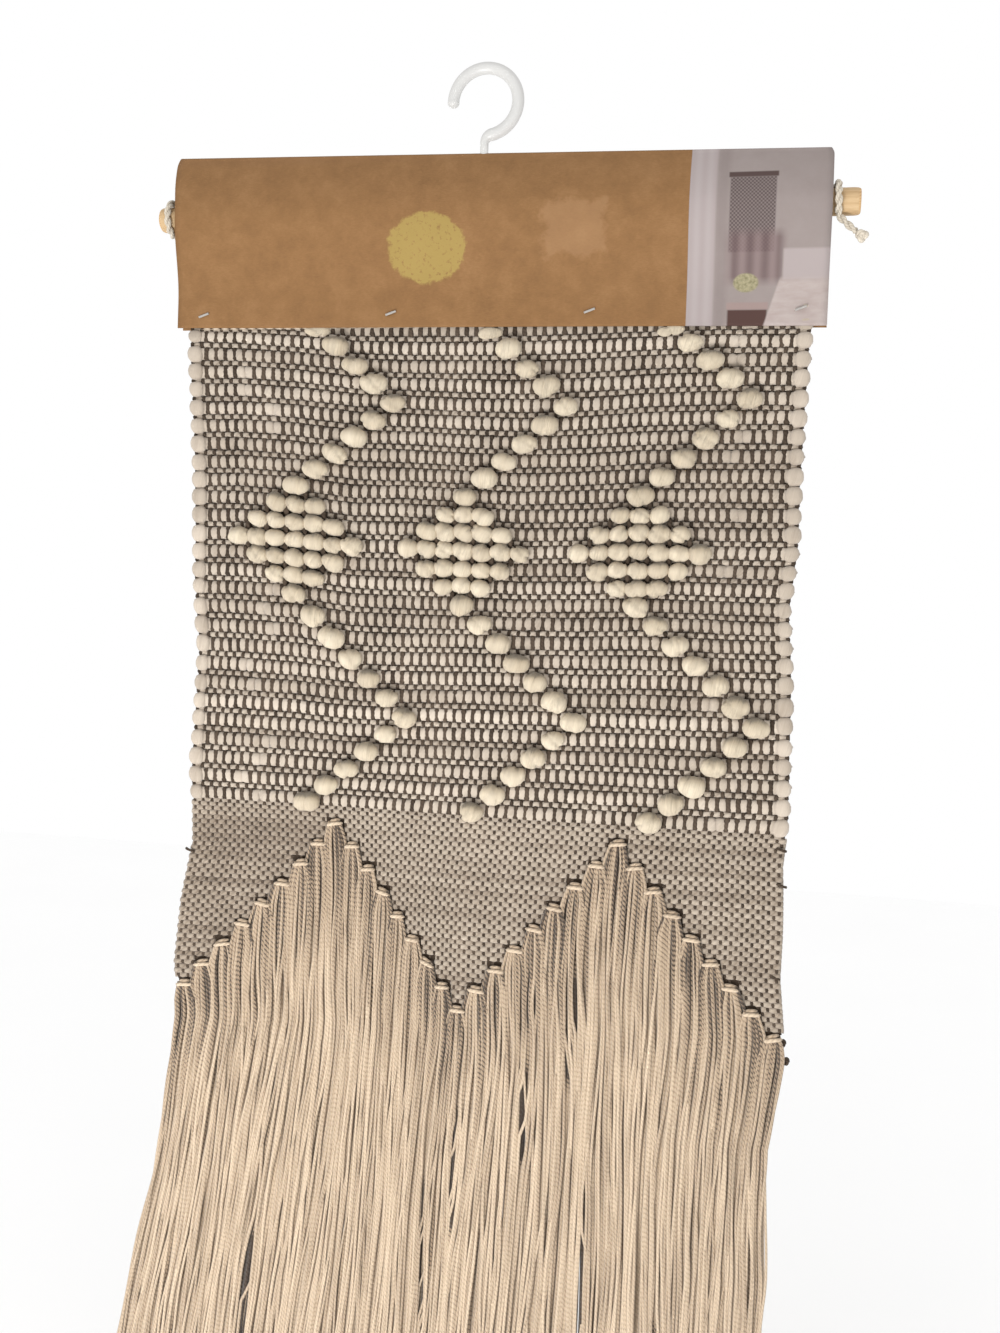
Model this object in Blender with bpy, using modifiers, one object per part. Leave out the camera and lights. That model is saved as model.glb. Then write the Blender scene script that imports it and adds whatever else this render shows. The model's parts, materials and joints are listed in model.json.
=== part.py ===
"""Woven wall hanging on a wooden dowel, packed for the shop in a folded card with a swivelling hook.

Metres, +Z up, the front faces -Y. The origin is the inside of the hook's crown, where a rail bears.
The hook holds everything: the card turns on the hook's stem, the cloth swings at the card's lower
edge and every tassel swings at its own knot.
"""

import math

import bmesh
import bpy
from mathutils import Matrix, Vector

# Driving dimensions
CLOTH_WIDTH = 0.390
CLOTH_THICKNESS = 0.006
SELVEDGE = 0.0019            # past the outer warp bars

ROD_DIAMETER = 0.016
ROD_PAST_CLOTH = 0.0275      # at each end
ROD_CHAMFER = 0.001
ROD_SHIFT = 0.007            # the rod's middle lies this far to the right of the hook

HOOK_RADIUS = 0.0207         # middle of the wire, round the loop
HOOK_WIRE = 0.0076
HOOK_NECK = 0.00654          # from the end of the bend down to the card's fold
HOOK_LEAVE = math.radians(-78)
HOOK_TIP = math.radians(178)
STEM_DIAMETER = 0.0052
STEM_LENGTH = 0.0155         # stem inside the card, down to the underside of its button
BUTTON_DIAMETER = 0.009
BUTTON_THICKNESS = 0.002
PLATE_LENGTH = 0.042
PLATE_THICKNESS = 0.002

CARD_PAST_CLOTH = 0.0135     # at each side
CARD_SHIFT = -0.0024         # the card's middle from the rod's middle
CARD_THICKNESS = 0.0008
CARD_ABOVE_ROD = 0.0355
CARD_BELOW_ROD = 0.072
FOLD_RADIUS = 0.0016

SLEEVE_THICKNESS = 0.0025
ROW_PITCH = 0.01167
BOBBLES_ACROSS = 31          # places for a bobble in a row, two warp bars each
PATTERN_DROP = 0.00315       # from the cloth's bend to the first row of bobbles
FIRST_ROW = -3               # rows count down from the zigzags' upper points
LAST_ROW = 22
CHAIN_PITCHES = 9            # bobbles from one chain to the next
CHAIN_SHIFT = -1             # the middle chain's diamond from the cloth's middle, in bobbles
BOBBLE_HEIGHT = 0.007
BAND_THICKNESS = 0.0026
BAND_LEAST = 0.00643         # the plain band's height at the highest knots

TASSELS = 33
TASSELS_PER_SLOPE = 8
KNOT_STEP = 0.0143
TASSEL_THICKNESS = 0.005
TIP_DROP = -0.905            # fringe tips, from the rod's axis
FLARE_BELOW_KNOTS = 0.0216   # the tassels hang straight down to this far below the lowest knot
FLARE = 0.058                # the left edge's drift at the tips
FLARE_POWER = 1.5

PIN_INSET = 0.0045           # the outer pins from the cloth's edge
PINS = 4
PIN_RISE = 0.009             # above the card's lower edge
PIN_SHAFT = 0.001
PIN_BAR = 0.0014
PIN_BAR_LENGTH = 0.007

CORD_DIAMETER = 0.0046
KNOT_DIAMETER = 0.008
CORD_INSET_LEFT = 0.008      # its turns round the rod, from the rod's ends
CORD_INSET_RIGHT = 0.0136
CORD_LEAN = 0.001

CLEARANCE = 0.0003           # between pieces that touch
SWING_CLEARANCE = 0.0005     # round the swinging edges
PIVOT_DROP = 0.004           # the cloth bends this far below the card

# Sizes, heights and places that follow from them
ROD_LENGTH = CLOTH_WIDTH + 2 * ROD_PAST_CLOTH
CARD_WIDTH = CLOTH_WIDTH + 2 * CARD_PAST_CLOTH
CARD_X = ROD_SHIFT + CARD_SHIFT
LOOP_Z = -(HOOK_RADIUS - HOOK_WIRE / 2)
BEND_RADIUS = HOOK_RADIUS * math.cos(HOOK_LEAVE) / (1 - math.cos(HOOK_LEAVE))
BEND_Z = LOOP_Z + (HOOK_RADIUS + BEND_RADIUS) * math.sin(HOOK_LEAVE)
FOLD_Z = BEND_Z - HOOK_NECK
ROD_Z = FOLD_Z - CARD_ABOVE_ROD
CARD_BOTTOM_Z = ROD_Z - CARD_BELOW_ROD
PIVOT_Z = CARD_BOTTOM_Z - PIVOT_DROP
PATTERN_PITCH = (CLOTH_WIDTH - 2 * SELVEDGE) / BOBBLES_ACROSS
PATTERN_Z = PIVOT_Z - PATTERN_DROP + ROW_PITCH * (FIRST_ROW - 0.5)
WEAVE_BOTTOM_Z = PATTERN_Z - ROW_PITCH * (LAST_ROW + 0.5)
KNOT_TOP_Z = WEAVE_BOTTOM_Z - BAND_LEAST
FLARE_START_Z = KNOT_TOP_Z - KNOT_STEP * TASSELS_PER_SLOPE - FLARE_BELOW_KNOTS
PIN_Z = CARD_BOTTOM_Z + PIN_RISE
PIN_SPACING = (CLOTH_WIDTH - 2 * PIN_INSET) / (PINS - 1)
TASSEL_PITCH = (CLOTH_WIDTH - 2 * CLEARANCE) / TASSELS
SLEEVE_RADIUS = ROD_DIAMETER / 2 + CLEARANCE + SLEEVE_THICKNESS
CARD_HALF_AT_ROD = SLEEVE_RADIUS + 2 * CLEARANCE + CARD_THICKNESS / 2
TAIL_THICKNESS = 2 * SLEEVE_THICKNESS
CARD_HALF_AT_EDGE = TAIL_THICKNESS / 2 + CLEARANCE + CARD_THICKNESS / 2

# Turns that take an outline's own x, y to the world
FACING_FRONT = Matrix.Rotation(math.pi / 2, 4, "X")            # x is X, y is Z
ALONG_ROD = Matrix(((0, 0, 1, 0), (1, 0, 0, 0), (0, 1, 0, 0), (0, 0, 0, 1)))   # x is Y, y is Z

for old in list(bpy.data.objects):
    bpy.data.objects.remove(old)

PARTS = bpy.data.collections.new("wall_hanging")
CUTTERS = bpy.data.collections.new("cutters")
bpy.context.scene.collection.children.link(PARTS)
bpy.context.scene.collection.children.link(CUTTERS)


def material(name, colour, roughness, metallic=0.0):
    made = bpy.data.materials.new(name)
    made.use_nodes = True
    shader = made.node_tree.nodes["Principled BSDF"]
    shader.inputs["Base Color"].default_value = (*colour, 1)
    shader.inputs["Roughness"].default_value = roughness
    shader.inputs["Metallic"].default_value = metallic
    return made


PLASTIC = material("hook_plastic", (0.83, 0.81, 0.79), 0.35)
KRAFT = material("kraft_card", (0.36, 0.19, 0.08), 0.85)
WOOD = material("dowel_wood", (0.66, 0.44, 0.24), 0.55)
WEAVE = material("woven_cloth", (0.34, 0.28, 0.22), 0.95)
ROVING = material("bobble_roving", (0.81, 0.70, 0.52), 0.95)
FRINGE = material("fringe_yarn", (0.68, 0.52, 0.36), 0.95)
CORD = material("hanging_cord", (0.60, 0.52, 0.45), 0.9)


def add_part(name, mesh, at, look):
    made = bpy.data.objects.new(name, mesh)
    made.location = at
    mesh.materials.clear()
    mesh.materials.append(look)
    PARTS.objects.link(made)
    return made


def mesh_of(source):
    """The evaluated mesh of a curve object, welded, in the curve's own axes. The curve goes."""
    graph = bpy.context.evaluated_depsgraph_get()
    mesh = bpy.data.meshes.new_from_object(source.evaluated_get(graph))
    work = bmesh.new()
    work.from_mesh(mesh)
    bmesh.ops.remove_doubles(work, verts=work.verts, dist=1e-6)
    bmesh.ops.recalc_face_normals(work, faces=work.faces)
    work.to_mesh(mesh)
    work.free()
    bpy.data.objects.remove(source)
    return mesh


def holed_solid(name, loops, depth, turn, at, look):
    """The first loop filled, the others as holes in it, depth thick about its own plane."""
    curve = bpy.data.curves.new(name, "CURVE")
    curve.dimensions = "2D"
    curve.fill_mode = "BOTH"
    curve.extrude = depth / 2
    for loop in loops:
        spline = curve.splines.new("POLY")
        spline.points.add(len(loop) - 1)
        for point, (x, y) in zip(spline.points, loop):
            point.co = (x, y, 0, 1)
        spline.use_cyclic_u = True
    guide = bpy.data.objects.new(name + "_outline", curve)
    CUTTERS.objects.link(guide)
    mesh = mesh_of(guide)
    mesh.transform(turn)
    return add_part(name, mesh, at, look)


def flat_solid(name, loop, depth, turn, at, look):
    """One outline as a single face, made depth thick about its own plane."""
    work = bmesh.new()
    work.faces.new([work.verts.new((x, y, 0)) for x, y in loop])
    mesh = bpy.data.meshes.new(name)
    work.to_mesh(mesh)
    work.free()
    mesh.transform(turn)
    made = add_part(name, mesh, at, look)
    wall = made.modifiers.new("thickness", "SOLIDIFY")
    wall.thickness = depth
    wall.offset = 0
    return made


def wire_curve(name, points, radius, resolution, radii=None):
    """A round wire along the points, each with its own share of the radius."""
    curve = bpy.data.curves.new(name, "CURVE")
    curve.dimensions = "3D"
    curve.bevel_depth = radius
    curve.bevel_resolution = resolution
    curve.use_fill_caps = True
    spline = curve.splines.new("POLY")
    spline.points.add(len(points) - 1)
    for index, (point, place) in enumerate(zip(spline.points, points)):
        point.co = (*place, 1)
        point.radius = radii[index] if radii else 1
    return curve


def round_bar(name, diameter, length, sides, at, axis):
    """A cylinder's mesh object, centred on at, along axis."""
    mesh = bpy.data.meshes.new(name)
    work = bmesh.new()
    bmesh.ops.create_cone(
        work, cap_ends=True, segments=sides, radius1=diameter / 2, radius2=diameter / 2, depth=length
    )
    work.to_mesh(mesh)
    work.free()
    mesh.transform(Vector((0, 0, 1)).rotation_difference(Vector(axis)).to_matrix().to_4x4())
    made = bpy.data.objects.new(name, mesh)
    made.location = at
    return made


def cutter(made):
    CUTTERS.objects.link(made)
    made.hide_render = True
    made.display_type = "WIRE"
    return made


def boolean(target, other, operation):
    step = target.modifiers.new(other.name, "BOOLEAN")
    step.operation = operation
    step.object = other
    step.solver = "EXACT"


def shade_round(made, degrees=35):
    made.data.shade_smooth()
    made.data.set_sharp_from_angle(angle=math.radians(degrees))


def arc(centre, radius, start, end, steps):
    """Points on an arc, both ends included, angles in radians."""
    turned = [start + (end - start) * k / steps for k in range(steps + 1)]
    return [(centre[0] + radius * math.cos(a), centre[1] + radius * math.sin(a)) for a in turned]


def smooth_route(points, pieces):
    """A Catmull-Rom curve through the points, with this many pieces between each two."""
    route = [Vector(p) for p in points]
    route = [2 * route[0] - route[1]] + route + [2 * route[-1] - route[-2]]
    found = []
    for a, b, c, d in zip(route, route[1:], route[2:], route[3:]):
        square = 2 * a - 5 * b + 4 * c - d
        cube = 3 * b - a - 3 * c + d
        for step in range(pieces):
            t = step / pieces
            found.append(0.5 * (2 * b + (c - a) * t + square * t**2 + cube * t**3))
    return found + [route[-2]]


# The hook: a loop of round plastic, a neck that bends down into the stem, and a button at its end


def hook():
    wire = HOOK_WIRE / 2
    thin = STEM_DIAMETER / HOOK_WIRE
    loop = arc((0, LOOP_Z), HOOK_RADIUS, HOOK_TIP, HOOK_LEAVE, 30)
    bend_x = (HOOK_RADIUS + BEND_RADIUS) * math.cos(HOOK_LEAVE)
    bend = arc((bend_x, BEND_Z), BEND_RADIUS, HOOK_LEAVE + math.pi, math.pi, 6)
    button_top = FOLD_Z - STEM_LENGTH + BUTTON_THICKNESS
    stem = [(0, (BEND_Z + FOLD_Z) / 2), (0, FOLD_Z), (0, button_top - CLEARANCE)]
    cap_angles = [math.radians(a) for a in (86, 63, 43, 23)]
    round_tip = [(loop[0][0], loop[0][1] - wire * math.sin(a)) for a in cap_angles]
    radii = [math.cos(a) for a in cap_angles] + [1.0] * len(loop)
    radii += [1 + (thin - 1) * k / (len(bend) - 1) for k in range(1, len(bend))] + [thin] * len(stem)
    places = [(x, 0, z) for x, z in round_tip + loop + bend[1:] + stem]
    curve = wire_curve("hook", places, wire, 3, radii)
    guide = bpy.data.objects.new("hook_wire", curve)
    CUTTERS.objects.link(guide)
    made = add_part("hook", mesh_of(guide), (0, 0, 0), PLASTIC)
    at = (0, 0, button_top - BUTTON_THICKNESS / 2)
    button = round_bar("hook_button", BUTTON_DIAMETER, BUTTON_THICKNESS, 32, at, (0, 0, 1))
    boolean(made, cutter(button), "UNION")
    shade_round(made)


# The card: one sheet folded over the rod, closer together at its fold and at its lower edge


def card_half(height):
    """The leaves' middle surface from the card's middle, at a height above the rod's axis."""
    top = CARD_ABOVE_ROD - FOLD_RADIUS
    if height >= 0:
        share = (height / top) ** 1.6
        return CARD_HALF_AT_ROD + (FOLD_RADIUS - CARD_HALF_AT_ROD) * share
    share = min(1.0, -height / (0.75 * CARD_BELOW_ROD))
    return CARD_HALF_AT_EDGE + (CARD_HALF_AT_ROD - CARD_HALF_AT_EDGE) * (1 + math.cos(math.pi * share)) / 2


def header_card():
    top = CARD_ABOVE_ROD - FOLD_RADIUS
    lower = [-CARD_BELOW_ROD + CARD_BELOW_ROD * k / 14 for k in range(14)]
    upper = [top * k / 8 for k in range(8)]
    back = [(card_half(h), ROD_Z + h) for h in lower + upper]
    fold = arc((0, ROD_Z + top), FOLD_RADIUS, 0, math.pi, 6)
    front = [(-y, z) for y, z in reversed(back)]
    sheet = bmesh.new()
    rows = []
    for y, z in back + fold + front:
        rows.append([sheet.verts.new((side * CARD_WIDTH / 2, y, z)) for side in (-1, 1)])
    for a, b in zip(rows, rows[1:]):
        sheet.faces.new((a[0], a[1], b[1], b[0]))
    mesh = bpy.data.meshes.new("header_card")
    sheet.to_mesh(mesh)
    sheet.free()
    made = add_part("header_card", mesh, (CARD_X, 0, 0), KRAFT)
    wall = made.modifiers.new("sheet", "SOLIDIFY")
    wall.thickness = CARD_THICKNESS
    wall.offset = 0
    wall.use_even_offset = True
    width = STEM_DIAMETER + 2 * SWING_CLEARANCE
    length = 2 * (STEM_LENGTH - BUTTON_THICKNESS)
    hole = round_bar("stem_hole", width, length, 32, (0, 0, FOLD_Z), (0, 0, 1))
    boolean(made, cutter(hole), "DIFFERENCE")
    for place in pin_places():
        boolean(made, PIN_HOLES[place], "DIFFERENCE")
    shade_round(made, 30)


# The plate inside the fold: it spreads the hook's pull over both leaves


def hook_plate():
    low = FOLD_Z - STEM_LENGTH + BUTTON_THICKNESS + CLEARANCE
    height = low + PLATE_THICKNESS - ROD_Z
    half = card_half(height) - CARD_THICKNESS / 2 - CLEARANCE
    length = PLATE_LENGTH / 2 - half
    loop = arc((length, 0), half, -math.pi / 2, math.pi / 2, 8)
    loop += arc((-length, 0), half, math.pi / 2, 3 * math.pi / 2, 8)
    hole = arc((0, 0), STEM_DIAMETER / 2 + CLEARANCE, 0, 2 * math.pi * 31 / 32, 31)
    at = (0, 0, low + PLATE_THICKNESS / 2)
    holed_solid("hook_plate", [loop, hole], PLATE_THICKNESS, Matrix.Identity(4), at, PLASTIC)


# The dowel, and the cloth's sleeve round it, sewn to a tail that runs down to the card's lower edge


def dowel_rod():
    made = round_bar("dowel_rod", ROD_DIAMETER, ROD_LENGTH, 48, (ROD_SHIFT, 0, ROD_Z), (1, 0, 0))
    made.data.materials.append(WOOD)
    PARTS.objects.link(made)
    edge = made.modifiers.new("chamfer", "BEVEL")
    edge.width = ROD_CHAMFER
    edge.segments = 2
    edge.limit_method = "ANGLE"
    edge.angle_limit = math.radians(60)
    shade_round(made)


def rod_sleeve():
    half = TAIL_THICKNESS / 2
    meet = math.asin(half / SLEEVE_RADIUS)
    around = arc((0, 0), SLEEVE_RADIUS, -math.pi / 2 + meet, 3 * math.pi / 2 - meet, 40)
    bottom = PIVOT_Z + CLOTH_THICKNESS / 2 + SWING_CLEARANCE - ROD_Z
    outer = around + [(-half, bottom), (half, bottom)]
    inner = arc((0, 0), ROD_DIAMETER / 2 + CLEARANCE, 0, 2 * math.pi * 39 / 40, 39)
    made = holed_solid("rod_sleeve", [outer, inner], CLOTH_WIDTH, ALONG_ROD, (ROD_SHIFT, 0, ROD_Z), WEAVE)
    for place in pin_places():
        boolean(made, PIN_HOLES[place], "DIFFERENCE")
    shade_round(made)


# The four plastic pins that hold the card on the cloth, each with a crossbar at both ends


def pin_places():
    return [ROD_SHIFT + PIN_SPACING * (k - (PINS - 1) / 2) for k in range(PINS)]


def make_pin_holes():
    reach = 4 * CARD_HALF_AT_ROD
    width = PIN_SHAFT + 2 * CLEARANCE
    return {
        x: cutter(round_bar(f"pin_hole_{k}", width, reach, 16, (x, 0, PIN_Z), (0, 1, 0)))
        for k, x in enumerate(pin_places(), 1)
    }


def tag_pins():
    face = card_half(PIN_Z - ROD_Z) + CARD_THICKNESS / 2 + CLEARANCE
    bar_y = face + PIN_BAR / 2
    tilt = (math.cos(math.radians(20)), 0, math.sin(math.radians(20)))
    for k, x in enumerate(pin_places(), 1):
        made = round_bar(f"tag_pin_{k}", PIN_SHAFT, 2 * bar_y, 12, (x, 0, PIN_Z), (0, 1, 0))
        made.data.materials.append(PLASTIC)
        PARTS.objects.link(made)
        for side, word in ((-1, "front"), (1, "back")):
            at = (x, side * bar_y, PIN_Z)
            bar = round_bar(f"pin_bar_{k}_{word}", PIN_BAR, PIN_BAR_LENGTH, 12, at, tilt)
            boolean(made, cutter(bar), "UNION")


# The cloth: thick woven rows down to a plain band, whose lower edge steps from knot to knot


def woven_panel():
    half = CLOTH_THICKNESS / 2
    low = WEAVE_BOTTOM_Z - PIVOT_Z
    outline = arc((0, 0), half, 0, math.pi, 12) + [(-half, low), (half, low)]
    made = flat_solid("woven_panel", outline, CLOTH_WIDTH, ALONG_ROD, (ROD_SHIFT, 0, PIVOT_Z), WEAVE)
    shade_round(made)


def knot_z(index):
    """World height of a tassel's knot: two points of a zigzag, one slope for each eight tassels."""
    from_peak = (index + TASSELS_PER_SLOPE) % (2 * TASSELS_PER_SLOPE)
    steps = min(from_peak, 2 * TASSELS_PER_SLOPE - from_peak)
    return KNOT_TOP_Z - KNOT_STEP * steps


def tassel_x(index):
    return ROD_SHIFT + TASSEL_PITCH * (index - (TASSELS - 1) / 2)


def plain_band():
    top = WEAVE_BOTTOM_Z - CLEARANCE - PIVOT_Z
    above = TASSEL_THICKNESS / 2 + SWING_CLEARANCE
    sides = [TASSEL_PITCH * (k - TASSELS / 2) for k in range(TASSELS + 1)]
    edge = []
    for index in range(TASSELS):
        low = knot_z(index) + above - PIVOT_Z
        edge += [(sides[index], low), (sides[index + 1], low)]
    outline = [(sides[-1], top), (sides[0], top)] + edge
    at = (ROD_SHIFT, 0, PIVOT_Z)
    flat_solid("plain_band", outline, BAND_THICKNESS, FACING_FRONT, at, WEAVE)


def bobbles_at(row):
    """(offset, count) of a chain's bobbles in a row, in bobbles from the diamond's middle."""
    if row <= 5:
        return 5 - abs(row), 1
    if row <= 10:
        return 0, 7 - 2 * abs(row - 8)
    return (row - 11 if row <= 17 else 23 - row), 1


def bobble_chains():
    rows = range(FIRST_ROW, LAST_ROW + 1)
    for chain, side in enumerate(("left", "centre", "right"), -1):
        middle = (CHAIN_SHIFT + CHAIN_PITCHES * chain) * PATTERN_PITCH
        left, right = [], []
        for row in rows:
            offset, count = bobbles_at(row)
            z = PATTERN_Z - ROW_PITCH * row - PIVOT_Z
            left.append((middle + PATTERN_PITCH * (offset - count / 2), z))
            right.append((middle + PATTERN_PITCH * (offset + count / 2), z))
        rise = ROW_PITCH / 2
        outline = [(left[0][0], left[0][1] + rise)] + left + [(left[-1][0], left[-1][1] - rise)]
        outline += [(right[-1][0], right[-1][1] - rise)] + right[::-1]
        outline.append((right[0][0], right[0][1] + rise))
        y = -(CLOTH_THICKNESS / 2 + CLEARANCE + BOBBLE_HEIGHT / 2)
        at = (ROD_SHIFT, y, PIVOT_Z)
        flat_solid(f"bobble_chain_{side}", outline, BOBBLE_HEIGHT, FACING_FRONT, at, ROVING)


# The fringe: each tassel hangs straight past the lowest knots, then drifts to the left


def tassels():
    for index in range(TASSELS):
        top = knot_z(index)
        width = TASSEL_PITCH - CLEARANCE
        share = 1 - index / (TASSELS - 1)
        drift = -FLARE * share**FLARE_POWER
        start = FLARE_START_Z - top
        tip = ROD_Z + TIP_DROP - top
        right = [(width / 2, 0), (width / 2, start), (width / 2 + drift, tip)]
        left = [(-width / 2 + drift, tip), (-width / 2, start), (-width / 2, 0)]
        name = f"tassel_{index + 1:02d}"
        at = (tassel_x(index), 0, top)
        strand = flat_solid(name, left + right, TASSEL_THICKNESS, FACING_FRONT, at, FRINGE)
        head = round_bar(f"{name}_head", TASSEL_THICKNESS, width, 16, at, (1, 0, 0))
        boolean(strand, cutter(head), "UNION")
        shade_round(strand)


# The hanging cord: knotted inside the card, once round each end of the rod, and a knotted tail


def wrap(x_start, x_end, start, end, steps):
    """A turn round the rod, from the rod's axis, angles in degrees from +Y towards +Z."""
    radius = ROD_DIAMETER / 2 + CORD_DIAMETER / 2 + CLEARANCE
    found = []
    for k in range(steps + 1):
        angle = math.radians(start + (end - start) * k / steps)
        x = x_start + (x_end - x_start) * k / steps
        found.append((x, radius * math.cos(angle), radius * math.sin(angle)))
    return found


LEFT_TAIL = [(-0.2062, 0.0046, -0.0150), (-0.2098, 0.0056, -0.0124)]
RUN = [
    (-0.2090, 0.0062, 0.0118),
    (-0.1960, 0.0058, 0.0127),
    (-0.1600, 0.0050, 0.0131),
    (-0.1200, 0.0060, 0.0127),
    (-0.0800, 0.0066, 0.0123),
    (-0.0400, 0.0057, 0.0128),
    (0.0000, 0.0050, 0.0131),
    (0.0400, 0.0058, 0.0128),
    (0.0800, 0.0066, 0.0123),
    (0.1200, 0.0060, 0.0127),
    (0.1600, 0.0050, 0.0131),
    (0.1880, 0.0056, 0.0128),
    (0.2020, 0.0062, 0.0116),
]
RIGHT_TAIL = [(0.2130, -0.0052, -0.0124), (0.2168, -0.0044, -0.0158), (0.2204, -0.0036, -0.0184)]


def hanging_cord():
    out_left = CORD_INSET_LEFT - ROD_LENGTH / 2
    out_right = ROD_LENGTH / 2 - CORD_INSET_RIGHT
    route = LEFT_TAIL + wrap(out_left, out_left, -50, -292, 8) + RUN
    route += wrap(out_right, out_right + CORD_LEAN, 58, 238, 6) + RIGHT_TAIL
    curve = wire_curve("hanging_cord", smooth_route(route, 2), CORD_DIAMETER / 2, 2)
    made = bpy.data.objects.new("hanging_cord", curve)
    made.location = (ROD_SHIFT, 0, ROD_Z)
    curve.materials.append(CORD)
    PARTS.objects.link(made)
    for side, end, before in (("left", route[0], route[1]), ("right", route[-1], route[-2])):
        out = (Vector(end) - Vector(before)).normalized()
        centre = Vector(end) + out * (KNOT_DIAMETER / 2 + CLEARANCE) + Vector((ROD_SHIFT, 0, ROD_Z))
        ball = bmesh.new()
        bmesh.ops.create_uvsphere(ball, u_segments=16, v_segments=10, radius=KNOT_DIAMETER / 2)
        mesh = bpy.data.meshes.new(f"cord_knot_{side}")
        ball.to_mesh(mesh)
        ball.free()
        shade_round(add_part(f"cord_knot_{side}", mesh, centre, CORD), 60)


PIN_HOLES = make_pin_holes()
hook()
hook_plate()
header_card()
dowel_rod()
rod_sleeve()
tag_pins()
woven_panel()
plain_band()
bobble_chains()
hanging_cord()
tassels()
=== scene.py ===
"""The looks of the woven wall hanging: cloth, bobbles, fringe, card, hook, dowel and cord on the CAD frame.

Metres, in the part's own frame. Cloth is laid out flat and regular, then settle() gives it the
slack outline that the hung cloth has.
"""

import json
import math

import bpy
import numpy as np
from mathutils import Matrix, Vector


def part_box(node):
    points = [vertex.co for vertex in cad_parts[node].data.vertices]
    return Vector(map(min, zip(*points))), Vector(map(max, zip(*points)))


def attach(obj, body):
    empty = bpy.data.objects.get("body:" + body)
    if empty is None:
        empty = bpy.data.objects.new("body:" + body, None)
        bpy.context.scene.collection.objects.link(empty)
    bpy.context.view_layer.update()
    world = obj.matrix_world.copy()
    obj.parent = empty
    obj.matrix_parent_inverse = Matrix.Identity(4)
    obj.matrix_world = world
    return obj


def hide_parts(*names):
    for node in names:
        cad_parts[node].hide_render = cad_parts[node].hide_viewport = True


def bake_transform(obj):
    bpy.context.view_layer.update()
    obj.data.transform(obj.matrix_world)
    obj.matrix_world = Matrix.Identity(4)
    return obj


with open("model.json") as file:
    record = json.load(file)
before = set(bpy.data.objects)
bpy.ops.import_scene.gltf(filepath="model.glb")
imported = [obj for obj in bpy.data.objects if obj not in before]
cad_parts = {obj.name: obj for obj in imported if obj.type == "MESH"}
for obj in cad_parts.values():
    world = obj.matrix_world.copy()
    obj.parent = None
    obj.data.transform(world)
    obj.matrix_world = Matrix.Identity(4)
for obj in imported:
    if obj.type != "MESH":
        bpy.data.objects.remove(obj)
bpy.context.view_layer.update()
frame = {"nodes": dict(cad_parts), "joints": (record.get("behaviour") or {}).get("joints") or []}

JOINTS = {joint["name"]: joint for joint in frame["joints"]}

# Places read from the CAD
ROD_LOW, ROD_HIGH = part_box("dowel_rod")
ROD = (ROD_LOW + ROD_HIGH) / 2
ROD_RADIUS = (ROD_HIGH.z - ROD_LOW.z) / 2
CARD_LOW, CARD_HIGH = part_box("header_card")
SLEEVE_LOW, SLEEVE_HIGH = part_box("rod_sleeve")
CHAIN_LOW, CHAIN_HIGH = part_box("bobble_chain_centre")
PIVOT = Vector(JOINTS["panel_swing"]["pos_m"])
FOLD = Vector(JOINTS["header_turn"]["pos_m"])
TASSELS = 33
KNOTS = []
for number in range(1, TASSELS + 1):
    name = "fringe_swing" if number == 9 else f"tassel_{number:02d}_swing"
    KNOTS.append(Vector(JOINTS[name]["pos_m"]))
TIP_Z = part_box("tassel_01")[0].z

# The weave: a chain spans ten bobble places and twenty-six thick rows
PLACE = (CHAIN_HIGH.x - CHAIN_LOW.x) / 10
ROW = (CHAIN_HIGH.z - CHAIN_LOW.z) / 26
FIRST_ROW, LAST_ROW = -3, 22
ROW_ZERO_Z = CHAIN_HIGH.z - ROW * 3.5
HIDDEN_ROWS = 2                 # thick rows that run up between the card's leaves
BARS = 62
BAR = PLACE / 2
WARP = BAR / 2
CENTRE_X = PIVOT.x
WEAVE_END_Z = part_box("woven_panel")[0].z
BAND_PICK = 0.003
TASSEL_PITCH = KNOTS[1].x - KNOTS[0].x
CHAIN_MIDDLES = {"left": -10, "centre": -1, "right": 8}

# The camera: where it stands from the rod's middle, its turns in degrees and its lens
CAMERA_PLACE = Vector((0.18152, -0.81617, -0.24336))
CAMERA_YAW, CAMERA_PITCH, CAMERA_ROLL = 11.61, -2.83, 1.876
CAMERA_LENS, SENSOR_WIDTH = 35.52, 36

TOWARDS_FRONT = (0.0, -1.0, 0.0)
RANDOM = np.random.default_rng(12)


def placed(name, data):
    """A new object in the scene."""
    made = bpy.data.objects.new(name, data)
    bpy.context.scene.collection.objects.link(made)
    return made


def camera():
    yaw, pitch, roll = (math.radians(turn) for turn in (CAMERA_YAW, CAMERA_PITCH, CAMERA_ROLL))
    forward = Vector((-math.sin(yaw) * math.cos(pitch), math.cos(yaw) * math.cos(pitch), math.sin(pitch)))
    level = forward.cross(Vector((0, 0, 1))).normalized()
    above = level.cross(forward)
    right = level * math.cos(roll) + above * math.sin(roll)
    up = above * math.cos(roll) - level * math.sin(roll)
    data = bpy.data.cameras.new("camera")
    data.sensor_width = SENSOR_WIDTH
    data.lens = CAMERA_LENS
    data.clip_start = 0.02
    turn = Matrix((right, up, -forward)).transposed().to_4x4()
    made = placed("camera", data)
    made.matrix_world = Matrix.Translation(ROD + CAMERA_PLACE) @ turn
    bpy.context.scene.camera = made


# Mesh tools: many tubes at once, collected into one object


def step(low, high, values):
    """0 below low, 1 above high, smooth between them."""
    share = np.clip((values - low) / (high - low), 0, 1)
    return share * share * (3 - 2 * share)


def jitter(size, shape=None):
    """Random steps about zero: one number, or as many as the shape says."""
    return size * RANDOM.standard_normal(shape)


def unit(vectors):
    return vectors / np.linalg.norm(vectors, axis=-1, keepdims=True)


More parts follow.
